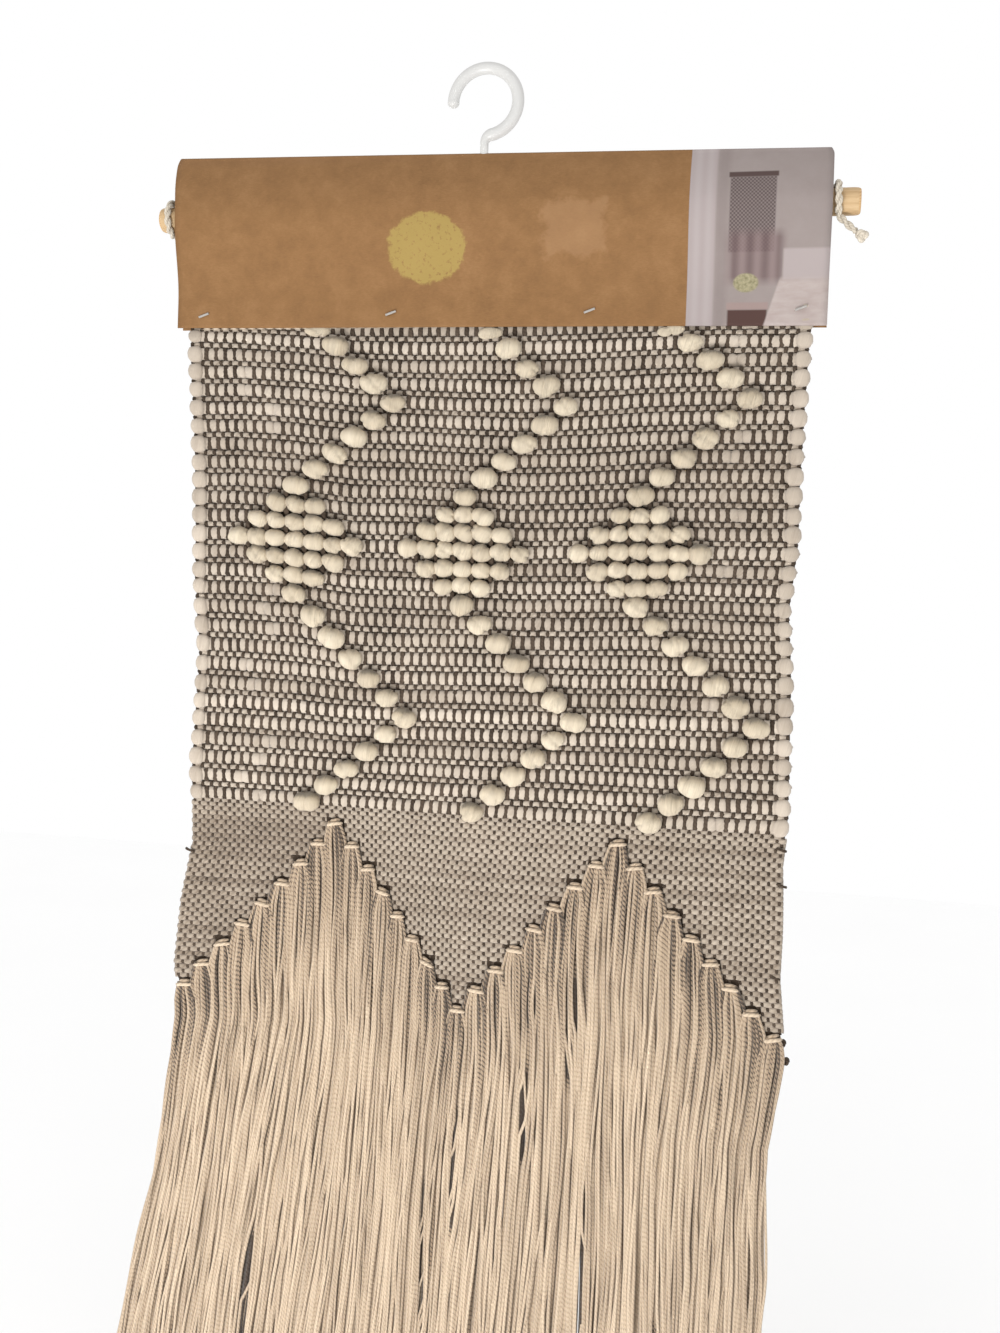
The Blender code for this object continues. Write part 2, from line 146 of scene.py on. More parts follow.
def travelled(path):
    """Distance from the start of a path to each of its points."""
    return np.concatenate([[0], np.linalg.norm(np.diff(path, axis=0), axis=1).cumsum()])


class Shape:
    """Collects tubes and grids, then makes one mesh with a yarn map and a tone for each tube."""

    def __init__(self):
        self.points, self.faces, self.maps, self.tones = [], [], [], []
        self.count = 0

    def add(self, points, tones, faces, maps):
        self.points.append(points.reshape(-1, 3))
        self.tones.append(np.broadcast_to(tones, points.shape[:-1]).reshape(-1))
        self.faces.append(faces + self.count)
        self.maps.append(maps)
        self.count += len(self.points[-1])

    def skin(self, points, along, tones):
        """Closed tubes over points (tubes, rings, sides, 3), with along metres of yarn at each ring."""
        tubes, rings, sides = points.shape[:3]
        t, r, s = np.meshgrid(np.arange(tubes), np.arange(rings - 1), np.arange(sides), indexing="ij")
        after = (s + 1) % sides
        base = (t * rings + r) * sides
        faces = np.stack([base + s, base + after, base + sides + after, base + sides + s], -1)
        u = np.stack([s, s + 1, s + 1, s], -1) / sides
        v = np.stack([along[t, r], along[t, r], along[t, r + 1], along[t, r + 1]], -1)
        first = self.count + np.arange(tubes)[:, None] * rings * sides
        self.add(points, tones, faces.reshape(-1, 4), np.stack([u, v], -1).reshape(-1, 4, 2))
        low = first + np.arange(sides)[::-1]
        high = first + (rings - 1) * sides + np.arange(sides)
        for loop, at in ((low, along[:, 0]), (high, along[:, -1])):
            around = np.broadcast_to(np.arange(sides) / sides, loop.shape)
            self.faces.append(loop)
            self.maps.append(np.stack([around, np.broadcast_to(at[:, None], loop.shape)], -1))

    def tubes(self, paths, wide, deep, sides=8, square=1.0, tones=None, start=None):
        """paths (tubes, rings, 3). wide and deep are half sizes across and towards the front, per ring."""
        paths = np.asarray(paths, float)
        tubes, rings = paths.shape[:2]
        tangent = unit(np.gradient(paths, axis=1))
        side = unit(np.cross(TOWARDS_FRONT, tangent))
        out = np.cross(tangent, side)
        angle = np.arange(sides) * 2 * np.pi / sides
        cos = np.sign(np.cos(angle)) * np.abs(np.cos(angle)) ** square
        sin = np.sign(np.sin(angle)) * np.abs(np.sin(angle)) ** square
        wide = np.broadcast_to(wide, (tubes, rings))[..., None, None]
        deep = np.broadcast_to(deep, (tubes, rings))[..., None, None]
        ring = wide * cos[:, None] * side[:, :, None] + deep * sin[:, None] * out[:, :, None]
        tones = np.asarray(RANDOM.random(tubes) if tones is None else tones)
        length = np.linalg.norm(np.diff(paths, axis=1), axis=2).cumsum(axis=1)
        along = np.concatenate([np.zeros((tubes, 1)), length], axis=1)
        along += (RANDOM.random(tubes) if start is None else np.broadcast_to(start, tubes))[:, None]
        tones = tones[:, :, None] if tones.ndim == 2 else tones[:, None, None]
        self.skin(paths[:, :, None] + ring, along, tones)

    def loose_tube(self, line, radius, sides=8, tone=0.5):
        """A round tube on any path, whatever way it turns."""
        _, across, other = turning_frames(line)
        angle = (np.arange(sides) * 2 * np.pi / sides)[None, :, None]
        radius = np.broadcast_to(radius, len(line))[:, None, None]
        ring = radius * (np.cos(angle) * across[:, None] + np.sin(angle) * other[:, None])
        self.skin((line[:, None] + ring)[None], (travelled(line) + tone)[None], tone)

    def slab(self, front, back):
        """A closed sheet between two grids of points (rows, columns, 3); front faces towards -Y."""
        rows, columns = front.shape[:2]
        points = np.stack([front, back])
        r, c = np.meshgrid(np.arange(rows - 1), np.arange(columns - 1), indexing="ij")
        at = r * columns + c
        quad = np.stack([at, at + 1, at + columns + 1, at + columns], -1).reshape(-1, 4)
        size = rows * columns
        faces = [quad[:, ::-1], quad + size]
        edge = np.concatenate([
            np.arange(columns - 1), np.arange(rows - 1) * columns + columns - 1,
            (rows - 1) * columns + np.arange(columns - 1, 0, -1), np.arange(rows - 1, 0, -1) * columns])
        after = np.roll(edge, -1)
        faces.append(np.stack([edge, after, after + size, edge + size], -1))
        faces = np.concatenate(faces)
        maps = points.reshape(-1, 3)[faces][..., [0, 2]] * 10
        self.add(points, 0.5, faces, maps)

    def make(self, name, look, settle_it=True):
        points = np.concatenate(self.points)
        if settle_it:
            points = settle(points)
        mesh = bpy.data.meshes.new(name)
        sizes = np.concatenate([np.full(len(f), f.shape[1]) for f in self.faces])
        loops = np.concatenate([f.reshape(-1) for f in self.faces])
        mesh.vertices.add(len(points))
        mesh.vertices.foreach_set("co", points.astype(np.float32).reshape(-1))
        mesh.loops.add(len(loops))
        mesh.loops.foreach_set("vertex_index", loops.astype(np.int32))
        mesh.polygons.add(len(sizes))
        mesh.polygons.foreach_set("loop_start", (np.cumsum(sizes) - sizes).astype(np.int32))
        mesh.polygons.foreach_set("loop_total", sizes.astype(np.int32))
        mesh.update(calc_edges=True)
        mesh.validate()
        layer = mesh.uv_layers.new(name="yarn")
        maps = np.concatenate([m.reshape(-1, 2) for m in self.maps])
        layer.data.foreach_set("uv", maps.astype(np.float32).reshape(-1))
        tone = mesh.attributes.new("tone", "FLOAT", "POINT")
        tone.data.foreach_set("value", np.concatenate(self.tones).astype(np.float32))
        mesh.shade_smooth()
        mesh.materials.append(look)
        return placed(name, mesh)


# How the hung cloth differs from its pattern, as places in the rod's frame and shifts in metres
HALF_WIDTH = 0.195
EDGE_HEIGHTS = [-0.505, -0.383, -0.297, -0.177, -0.075]
EDGE_SPREAD = [0.022, 0.0, -0.004, -0.006, 0.015]       # share of the distance from the middle
# Further shifts of the two sides, outwards, in metres, that die away towards the middle
LEFT_HEIGHTS = [-0.73, -0.64, -0.53, -0.492, -0.45, -0.41, -0.36, -0.283, -0.25, -0.09]
LEFT_OUT = [0.0, -0.002, -0.0015, 0.003, 0.001, -0.0045, 0.0, -0.003, 0.001, 0.004]
RIGHT_HEIGHTS = [-0.66, -0.62, -0.575, -0.51, -0.47, -0.40, -0.37, -0.29, -0.247, -0.208, -0.10]
RIGHT_OUT = [-0.0045, -0.009, -0.012, -0.004, -0.007, -0.0035, 0.002, 0.001, -0.002, 0.002, 0.0]
KNOT_PLACES = [-0.195, -0.0944, 0.0, 0.0944, 0.195]
KNOT_SHIFTS = [-0.0012, 0.0052, -0.0070, -0.0040, 0.0040]
# How far rows hang above their even places, in millimetres: a line for each height, a number for
# each place across
PULL_PLACES = [-0.195, -0.163, -0.125, -0.088, -0.050, -0.012, 0.025, 0.063, 0.100, 0.140, 0.195]
PULL_HEIGHTS = [-0.365, -0.29, -0.25, -0.20, -0.085, -0.045]
PULL_UP = [
    [0.0, 0.0, 0.0, 0.0, 0.0, 0.0, 0.5, 1.0, 1.5, 1.5, 1.5],
    [5.0, 5.5, 5.0, 1.5, 1.0, 1.2, 1.5, 2.5, 5.0, 6.5, 7.0],
    [8.0, 9.0, 8.5, 4.0, 2.5, 2.0, 1.5, 3.0, 6.0, 6.5, 6.0],
    [9.0, 9.5, 7.0, 3.0, 3.0, 1.3, 0.0, 1.5, 3.5, 3.5, 4.0],
    [9.5, 8.5, 5.5, 1.0, 0.0, 0.0, 0.0, 1.0, 2.5, 3.5, 3.5],
    [0.0, 0.0, 0.0, 0.0, 0.0, 0.0, 0.0, 0.0, 0.0, 0.0, 0.0],
]
PULL_RIGHT = [0.0, 0.0, 0.8, 2.8, 3.2, 1.3, 0.8, 0.8, 0.0, 0.0, 0.0]


def pulled(x, z):
    """How far up the cloth sits at a place, above its even rows."""
    lines = [np.interp(x, PULL_PLACES, line) for line in PULL_UP]
    up = lines[0]
    for k in range(1, len(lines)):
        low, high = PULL_HEIGHTS[k - 1], PULL_HEIGHTS[k]
        up = up + (lines[k] - lines[k - 1]) * np.clip((z - low) / (high - low), 0, 1)
    return up * 0.001 * step(-0.385, -0.365, z)


def settle(points):
    """Moves points of the regular cloth to where the hung cloth has them."""
    moved = points.copy()
    x, z = points[:, 0] - CENTRE_X, points[:, 2] - ROD.z
    spread = np.interp(z, EDGE_HEIGHTS, EDGE_SPREAD)
    low = 1 - step(-0.45, -0.36, z)
    fade = 1 - (1 - step(-0.70, -0.52, z)) * step(0.0, 0.19, x) * 0.9
    moved[:, 0] += (x * spread + np.interp(x, KNOT_PLACES, KNOT_SHIFTS) * low) * fade
    out = np.where(x < 0, -np.interp(z, LEFT_HEIGHTS, LEFT_OUT), np.interp(z, RIGHT_HEIGHTS, RIGHT_OUT))
    moved[:, 0] += out * np.clip(np.abs(x) / HALF_WIDTH, 0, 1.1) ** 3
    woven = step(-0.385, -0.345, z) * (1 - step(-0.07, -0.045, z))
    moved[:, 0] += np.interp(x, PULL_PLACES, PULL_RIGHT) * 0.001 * woven
    moved[:, 2] += pulled(x, z)
    moved[:, 1] *= squeezed(moved[:, 2]) / squeezed(points[:, 2])
    hang = step(0.076, 0.13, -z)
    moved[:, 2] += hang * 0.0012 * np.sin(x * 23 + 1) * np.sin(z * 17)
    moved[:, 1] += hang * 0.0015 * np.sin(x * 14 + z * 9 + 0.6)
    return moved


# Materials


STRIP_LEFT = 0.1225             # where the card's picture strip starts, from the rod's middle


class Nodes:
    """A material's node tree, built by short calls."""

    def __init__(self, name):
        self.material = bpy.data.materials.new(name)
        self.material.use_nodes = True
        self.tree = self.material.node_tree
        self.shader = self.tree.nodes["Principled BSDF"]

    def add(self, kind, output=0, settings=(), **inputs):
        node = self.tree.nodes.new(kind)
        for key, value in dict(settings).items():
            setattr(node, key, value)
        for key, value in inputs.items():
            key = int(key[1:]) if key[0] == "_" else key.replace("_", " ")
            self.put(node.inputs[key], value)
        return node.outputs[output]

    def put(self, socket, value):
        if isinstance(value, bpy.types.NodeSocket):
            self.tree.links.new(value, socket)
        else:
            socket.default_value = value

    def shade(self, **inputs):
        for key, value in inputs.items():
            self.put(self.shader.inputs[key.replace("_", " ")], value)
        return self.material

    def maths(self, operation, a, b=0.5, c=0.5, clamp=False):
        settings = {"operation": operation, "use_clamp": clamp}
        return self.add("ShaderNodeMath", settings=settings, _0=a, _1=b, _2=c)

    def times(self, a, b):
        return self.maths("MULTIPLY", a, b)

    def line(self, value, slope, offset, clamp=False):
        return self.maths("MULTIPLY_ADD", value, slope, offset, clamp)

    def minus(self, a, b, clamp=False):
        return self.maths("SUBTRACT", a, b, clamp=clamp)

    def power(self, a, b):
        return self.maths("POWER", a, b)

    def sine(self, value, per_metre):
        return self.maths("SINE", self.times(value, per_metre))

    def radius_squared(self, x, z, half_x=1.0, half_z=1.0):
        """1 on the ellipse with these half sizes, 0 at its middle."""
        across, up = self.times(x, 1 / half_x), self.times(z, 1 / half_z)
        return self.maths("ADD", self.power(across, 2.0), self.power(up, 2.0))

    def ramp(self, value, *stops):
        node = self.tree.nodes.new("ShaderNodeValToRGB")
        while len(node.color_ramp.elements) < len(stops):
            node.color_ramp.elements.new(0.5)
        for element, (at, colour) in zip(node.color_ramp.elements, stops):
            element.position = at
            element.color = (*colour, 1)
        self.put(node.inputs[0], value)
        return node.outputs[0]

    def mix(self, share, a, b):
        node = self.tree.nodes.new("ShaderNodeMix")
        node.data_type = "RGBA"
        for index, value in ((0, share), (6, a), (7, b)):
            self.put(node.inputs[index], (*value, 1) if isinstance(value, tuple) else value)
        return node.outputs[2]

    def yarn(self):
        """The yarn map: share of a turn round the tube, and metres along it."""
        return self.add("ShaderNodeUVMap", settings={"uv_map": "yarn"})

    def part(self, vector):
        node = self.tree.nodes.new("ShaderNodeSeparateXYZ")
        self.put(node.inputs[0], vector)
        return node.outputs

    def join(self, x, y, z=0.0):
        return self.add("ShaderNodeCombineXYZ", X=x, Y=y, Z=z)

    def noise(self, vector, scale, detail=2.0, rough=0.5):
        return self.add("ShaderNodeTexNoise", Vector=vector, Scale=scale, Detail=detail, Roughness=rough)

    def place(self):
        return self.add("ShaderNodeTexCoord", output=3)

    def stretched(self, *scales):
        """The place with each axis scaled, for fibres and grain that run one way."""
        return self.join(*(self.times(part, scale) for part, scale in zip(self.part(self.place()), scales)))

    def bump(self, height, distance, strength=1.0):
        return self.add("ShaderNodeBump", Height=height, Distance=distance, Strength=strength)


def yarn_look(name, light, dark, turns_per_metre, strands, fuzz=0.35, ply=0.8, depth=0.0004,
              streak=9.0, shadow=None, sheen=0.25, cloud=0.35):
    """Twisted fibre: ply grooves run round the tube as they go along it, with fine fibres between."""
    n = Nodes(name)
    u, v, _ = n.part(n.yarn())
    turn = n.line(v, turns_per_metre, n.times(u, float(strands)))
    round_ply = n.power(n.maths("ABSOLUTE", n.sine(turn, math.pi)), 0.6)
    lean = n.line(v, turns_per_metre / strands, u)
    fibres = n.noise(n.join(n.times(lean, streak), n.times(v, 60.0)), 3.0, 3.0, 0.6)
    patches = n.noise(n.place(), 45.0, 2.0)
    tone = n.add("ShaderNodeAttribute", output=2, settings={"attribute_name": "tone"})
    height = n.line(round_ply, ply, n.times(fibres, fuzz))
    share = n.line(fibres, 0.45, n.line(patches, cloud, n.times(tone, 0.3)))
    # Colour darkens into the ply grooves as painted shade; the lowest ramp stop is painted shadow.
    share = n.minus(n.line(round_ply, 0.35 * ply, share), 0.025 + 0.5 * cloud + 0.1 * ply)
    shadow = shadow or tuple(c * 0.45 for c in dark)
    colour = n.ramp(share, (0.0, shadow), (0.16, dark), (0.75, light))
    n.shade(Base_Color=colour, Roughness=0.92, Normal=n.bump(height, depth))
    return n.shade(Sheen_Weight=sheen, Sheen_Roughness=0.6, Specular_IOR_Level=0.15)


def kraft_look():
    """Uncoated kraft. The printed side has a gold roundel, a torn label's mark and a picture strip."""
    n = Nodes("kraft_card")
    place = n.place()
    x, y, z = n.part(place)
    cloud = n.noise(place, 70.0, 4.0, 0.65)
    grain = n.noise(n.stretched(500.0, 900.0, 1600.0), 1.0, 2.0)
    specks = n.add("ShaderNodeTexVoronoi", Vector=place, Scale=620.0)
    share = n.line(grain, 0.35, n.times(cloud, 0.75))
    browns = (0.25, (0.178, 0.090, 0.035)), (0.55, (0.232, 0.120, 0.047)), (0.85, (0.285, 0.155, 0.067))
    fleck = n.times(n.maths("LESS_THAN", specks, 0.11), 0.30)
    colour = n.mix(fleck, n.ramp(share, *browns), (0.16, 0.075, 0.03))
    # Painted shade: mottled darkening over the 6 mm below the fold.
    below_fold = n.maths("DIVIDE", n.minus(CARD_HIGH.z, z), 0.006)
    fold_shade = n.times(n.minus(1.0, below_fold, clamp=True), cloud)
    colour = n.mix(n.times(fold_shade, 0.5), colour, (0.20, 0.105, 0.05))
    front = n.maths("LESS_THAN", y, 0.0)
    x, z = n.minus(x, ROD.x), n.minus(z, ROD.z)
    colour = gold_roundel(n, x, z, front, colour)
    colour, height = torn_label(n, x, z, front, colour, grain)
    strip = n.times(n.maths("GREATER_THAN", x, STRIP_LEFT), front)
    colour = n.mix(strip, colour, picture(n, x, z, cloud))
    height = n.mix(strip, height, n.times(height, 0.2))
    n.shade(Base_Color=colour, Roughness=0.82, Specular_IOR_Level=0.25)
    return n.shade(Normal=n.bump(height, 0.00018, 0.6))


def inside_box(n, x, z, left, right, low, high, soft):
    """1 inside the rectangle, falling to 0 over soft at its edges."""
    found = 1.0
    for reach in (n.minus(x, left), n.minus(right, x), n.minus(z, low), n.minus(high, z)):
        found = n.times(found, n.line(reach, 1 / soft, 0.5, clamp=True))
    return found


def gold_roundel(n, x, z, front, colour):
    """A plain gold roundel of broken flecks with a ragged edge."""
    x, z = n.minus(x, -0.0400), n.minus(z, -0.0235)
    place = n.join(x, z)
    ragged = n.line(n.noise(place, 110.0, 4.0, 0.7), 0.52, -0.26)
    reach = n.maths("ADD", n.power(n.radius_squared(x, z, 0.0250, 0.0208), 0.5), ragged)
    disc = n.line(n.minus(1.0, reach), 12.0, 0.5, clamp=True)
    leafy = n.line(n.noise(place, 300.0, 3.0, 0.7), 6.0, -1.7, clamp=True)
    gold = n.times(n.times(disc, leafy), front)
    return n.mix(n.times(gold, 0.80), colour, (0.35, 0.255, 0.075))


def torn_label(n, x, z, front, colour, height):
    """Where a stuck label was pulled off: a paler, lower skin of fibres."""
    ragged = n.line(n.noise(n.join(x, z), 90.0, 4.0, 0.65), 0.020, -0.010)
    x, z = (n.maths("ADD", n.minus(value, at), ragged) for value, at in ((x, 0.0534), (z, -0.0139)))
    patch = n.times(inside_box(n, x, z, -0.019, 0.019, -0.016, 0.016, 0.004), front)
    return n.mix(n.times(patch, 0.34), colour, (0.37, 0.215, 0.11)), n.line(patch, -0.8, height)


def picture(n, x, z, cloud):
    """A pale room in plain shapes: curtain, shadow, a little hanging, flowers on a table, a bed."""
    def paint(under, colour, left, right, low, high, soft, share=1.0):
        return n.mix(n.times(inside_box(n, x, z, left, right, low, high, soft), share), under, colour)

    place = n.join(x, z)
    room = n.mix(cloud, (0.246, 0.204, 0.191), (0.300, 0.257, 0.243))
    folds = n.mix(n.line(n.sine(x, 900.0), 0.18, 0.55), (0.312, 0.261, 0.254), (0.390, 0.343, 0.335))
    room = paint(room, folds, STRIP_LEFT, 0.1385, -0.2, 0.2, 0.0015)
    room = paint(room, (0.156, 0.121, 0.117), 0.139, 0.146, -0.2, 0.2, 0.004, 0.25)
    checks = n.add("ShaderNodeTexChecker", output=1, Vector=place, Scale=900.0)
    weave = n.mix(checks, (0.098, 0.074, 0.070), (0.183, 0.148, 0.142))
    room = paint(room, weave, 0.1465, 0.1735, -0.0300, 0.0135, 0.0010)
    room = paint(room, (0.078, 0.051, 0.047), 0.1455, 0.1745, 0.0135, 0.0168, 0.0008)
    strands = n.mix(n.line(n.sine(x, 700.0), 0.5, 0.5), (0.125, 0.082, 0.082), (0.211, 0.152, 0.148))
    room = paint(room, strands, 0.1465, 0.1790, -0.0470, -0.0190, 0.006, 0.8)
    posy = n.radius_squared(n.minus(x, 0.1575), n.minus(z, -0.0475), 0.0075, 0.0055)
    posy = n.line(n.minus(1.0, posy), 3.0, 0.5, clamp=True)
    room = n.mix(posy, room, n.mix(n.noise(place, 500.0), (0.078, 0.066, 0.023), (0.484, 0.437, 0.281)))
    room = paint(room, (0.074, 0.039, 0.033), 0.1472, 0.1705, -0.2, -0.0632, 0.0012)
    room = paint(room, (0.289, 0.215, 0.199), 0.1465, 0.1712, -0.0632, -0.0590, 0.0012)
    room = paint(room, (0.359, 0.308, 0.300), 0.1790, 0.3, -0.0460, -0.0285, 0.0016)
    quilt = n.noise(n.join(x, n.times(z, 3.0)), 90.0, 3.0)
    quilt = n.mix(quilt, (0.312, 0.242, 0.222), (0.468, 0.413, 0.390))
    slope = n.line(n.minus(x, 0.1690), 3.2, -0.0720)
    bed = n.line(n.minus(slope, z), 260.0, 0.5, clamp=True)
    bed = n.times(bed, n.line(n.minus(-0.0455, z), 260.0, 0.5, clamp=True))
    return n.mix(bed, room, quilt)


def wood_look():
    n = Nodes("dowel_wood")
    x, y, z = n.part(n.place())
    rings = n.noise(n.stretched(9.0, 330.0, 330.0), 1.0, 4.0, 0.6)
    pores = n.noise(n.stretched(160.0, 2600.0, 2600.0), 1.0, 2.0)
    colour = n.ramp(rings, (0.3, (0.42, 0.27, 0.13)), (0.55, (0.56, 0.395, 0.22)), (0.8, (0.66, 0.49, 0.30)))
    colour = n.mix(n.times(n.maths("GREATER_THAN", pores, 0.62), 0.3), colour, (0.36, 0.19, 0.075))
    reach = n.maths("ABSOLUTE", n.minus(x, ROD.x))
    end = n.maths("GREATER_THAN", reach, (ROD_HIGH.x - ROD_LOW.x) / 2 - 0.0012)
    radius = n.power(n.radius_squared(n.minus(y, 0.004), n.minus(z, ROD.z - 0.011)), 0.5)
    growth = n.line(n.sine(radius, 5200.0), 0.5, 0.5)
    colour = n.mix(end, colour, n.mix(growth, (0.46, 0.27, 0.12), (0.66, 0.45, 0.23)))
    n.shade(Base_Color=colour, Roughness=0.58, Specular_IOR_Level=0.3)
    return n.shade(Normal=n.bump(n.line(pores, 0.5, rings), 0.00012, 0.7))


def plastic_look(name, colour, clear):
    n = Nodes(name)
    cloud = n.noise(n.place(), 60.0, 2.0)
    tint = n.ramp(cloud, (0.2, tuple(c * 0.95 for c in colour)), (0.8, colour))
    n.shade(Base_Color=tint, Roughness=n.line(cloud, 0.10, 0.30), IOR=1.49)
    return n.shade(Transmission_Weight=clear, Normal=n.bump(cloud, 0.00004, 0.3))


def sleeve_look():
    """The plain weave of the turned-over top."""
    n = Nodes("sleeve_weave")
    x, _, z = n.part(n.place())
    checks = n.times(n.sine(x, 2 * math.pi / BAR), n.sine(z, 2 * math.pi / 0.0064))
    fuzz = n.noise(n.place(), 900.0, 3.0)
    share = n.line(fuzz, 0.5, n.times(n.line(checks, 0.5, 0.5), 0.7))
    yarns = (0.3, (0.055, 0.038, 0.030)), (0.5, (0.40, 0.32, 0.24)), (0.9, (0.62, 0.52, 0.41))
    normal = n.bump(share, 0.0005)
    return n.shade(Base_Color=n.ramp(share, *yarns), Roughness=0.95, Normal=normal, Specular_IOR_Level=0.1)


def floor_look():
    n = Nodes("floor")
    whites = (0.3, (0.98, 0.98, 0.98)), (0.7, (0.99, 0.99, 0.99))
    return n.shade(Base_Color=n.ramp(n.noise(n.place(), 3.0, 2.0), *whites), Roughness=1.0)


# Each yarn: the light and dark ends of its colour (linear), turns per metre and plies
ROVING = yarn_look("cream_roving", (0.86, 0.745, 0.565), (0.52, 0.42, 0.29), 130.0, 1,
                   fuzz=1.2, ply=0.35, depth=0.0010, streak=12.0)
WEFT = yarn_look("cream_weft", (0.64, 0.555, 0.46), (0.34, 0.28, 0.22), 90.0, 1,
                 fuzz=0.8, ply=0.3, depth=0.0005, streak=12.0)
PICK = yarn_look("thin_pick", (0.50, 0.43, 0.35), (0.24, 0.19, 0.145), 260.0, 2,
                 fuzz=0.4, ply=0.7, depth=0.0003)
BAND_YARN = yarn_look("band_pick", (0.44, 0.37, 0.295), (0.22, 0.17, 0.125), 260.0, 2,
                      fuzz=0.6, ply=0.7, depth=0.0003)
WARP_YARN = yarn_look("charcoal_warp", (0.105, 0.077, 0.056), (0.030, 0.021, 0.015), 420.0, 2,
                      fuzz=0.5, ply=0.7, depth=0.0002, sheen=0.0)
FRINGE = yarn_look("fringe_yarn", (0.67, 0.53, 0.38), (0.37, 0.27, 0.18), 330.0, 2,
                   fuzz=0.9, ply=0.9, depth=0.0005, streak=14.0, shadow=(0.050, 0.032, 0.020), cloud=0.12)
CORD = yarn_look("cotton_cord", (0.74, 0.67, 0.56), (0.40, 0.34, 0.26), 500.0, 3, fuzz=0.5, depth=0.0003)
# Painted shade: the dark sheet behind the weave, seen in the gaps between the yarns.
SHADE_BACKING = yarn_look("painted_shade_backing", (0.085, 0.060, 0.042), (0.03, 0.020, 0.014), 300.0, 2,
                   depth=0.0003, sheen=0.0)
KRAFT = kraft_look()
WOOD = wood_look()
SLEEVE = sleeve_look()
HOOK = plastic_look("hook_plastic", (0.58, 0.575, 0.56), 0.0)
NYLON = plastic_look("pin_nylon", (0.50, 0.48, 0.45), 0.3)
FLOOR = floor_look()


def rides(made, body, slot, *nodes):
    """A piece that keeps its shape and moves with one body."""
    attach(made, body)
    if nodes:
        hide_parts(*nodes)
    return made


def hangs(made, slot, *nodes):
    """Cloth that leaves the card: its shape is fixed where it is, and the CAD parts it stands for are
    hidden.
    """
    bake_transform(made)
    if nodes:
        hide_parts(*nodes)
    return made


# The hanging cord: two plies, knotted inside the card, round the rod's ends, with a knotted tail
CORD_DIAMETER = 0.0046
KNOT_SIZE, KNOT_CORD = 0.00115, 0.0017
PLY_RADIUS, PLY_OFFSET, CORD_LAY = 0.00122, 0.00108, 0.0125
LEFT_TAIL = [(-0.2062, 0.0046, -0.0150), (-0.2098, 0.0056, -0.0124)]
RUN = [
    (-0.2090, 0.0062, 0.0118),
    (-0.1960, 0.0058, 0.0127),
    (-0.1600, 0.0050, 0.0131),
    (-0.1200, 0.0060, 0.0127),
    (-0.0800, 0.0066, 0.0123),
    (-0.0400, 0.0057, 0.0128),
    (0.0000, 0.0050, 0.0131),
    (0.0400, 0.0058, 0.0128),
    (0.0800, 0.0066, 0.0123),
    (0.1200, 0.0060, 0.0127),
    (0.1600, 0.0050, 0.0131),
    (0.1880, 0.0056, 0.0128),
    (0.2020, 0.0062, 0.0116),
]
RIGHT_TAIL = [(0.2130, -0.0052, -0.0124), (0.2168, -0.0044, -0.0158), (0.2204, -0.0036, -0.0184)]


def wrap(x_start, x_end, start, end, steps):
    """A turn round the rod, from the rod's axis, angles in degrees from +Y towards +Z."""
    radius = ROD_RADIUS + CORD_DIAMETER / 2 + 0.0003
    angle = np.radians(np.linspace(start, end, steps + 1))
    x = np.linspace(x_start, x_end, steps + 1)
    return [tuple(p) for p in np.stack([x, radius * np.cos(angle), radius * np.sin(angle)], 1)]


def smooth_route(points, pieces):
    """A Catmull-Rom curve through the points, with this many pieces between each two."""
    p = np.array(points, float)
    p = np.concatenate([[2 * p[0] - p[1]], p, [2 * p[-1] - p[-2]]])
    a, b, c, d = p[:-3, None], p[1:-2, None], p[2:-1, None], p[3:, None]
    t = (np.arange(pieces) / pieces)[None, :, None]
    found = 0.5 * (2 * b + (c - a) * t + (2 * a - 5 * b + 4 * c - d) * t**2 + (3 * b - a - 3 * c + d) * t**3)
    return np.concatenate([found.reshape(-1, 3), p[-2:-1]])


def turning_frames(path):
    """Unit vectors along and across a path that never twist about it."""
    tangent = unit(np.gradient(path, axis=0))
    across = np.cross(tangent[0], (0.3, 0.2, 1.0))
    found = []
    for t in tangent:
        across = unit(across - t * np.dot(across, t))
        found.append(across)
    across = np.array(found)
    return tangent, across, np.cross(tangent, across)


def plied(shape, path, plies, radius, offset, lay):
    """Strands twisted round a path, lay metres to a turn."""
    _, across, other = turning_frames(path)
    along = travelled(path)
    for k in range(plies):
        angle = (2 * np.pi * (along / lay + k / plies))[:, None]
        shape.loose_tube(path + offset * (np.cos(angle) * across + np.sin(angle) * other), radius)


def cord_knot(name, end, before):
    """A small overhand knot just past the cord's end."""
    low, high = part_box(name)
    centre = np.array((low + high) / 2)
    out = unit(np.array(end) - np.array(before))
    across = unit(np.cross(out, (0.0, 1.0, 0.0)))
    other = np.cross(out, across)
    t = np.linspace(0.35, 2 * np.pi + 0.1, 56)
    a = (np.sin(t) + 2 * np.sin(2 * t)) * KNOT_SIZE * 0.72
    b = (np.cos(t) - 2 * np.cos(2 * t)) * KNOT_SIZE * 0.72
    c = -np.sin(3 * t) * KNOT_SIZE * 1.2
    line = centre + a[:, None] * across + c[:, None] * other + b[:, None] * out
    shape = Shape()
    shape.loose_tube(line, KNOT_CORD, 10, 0.55)
    return shape.make(name + "_yarn", CORD, settle_it=False)


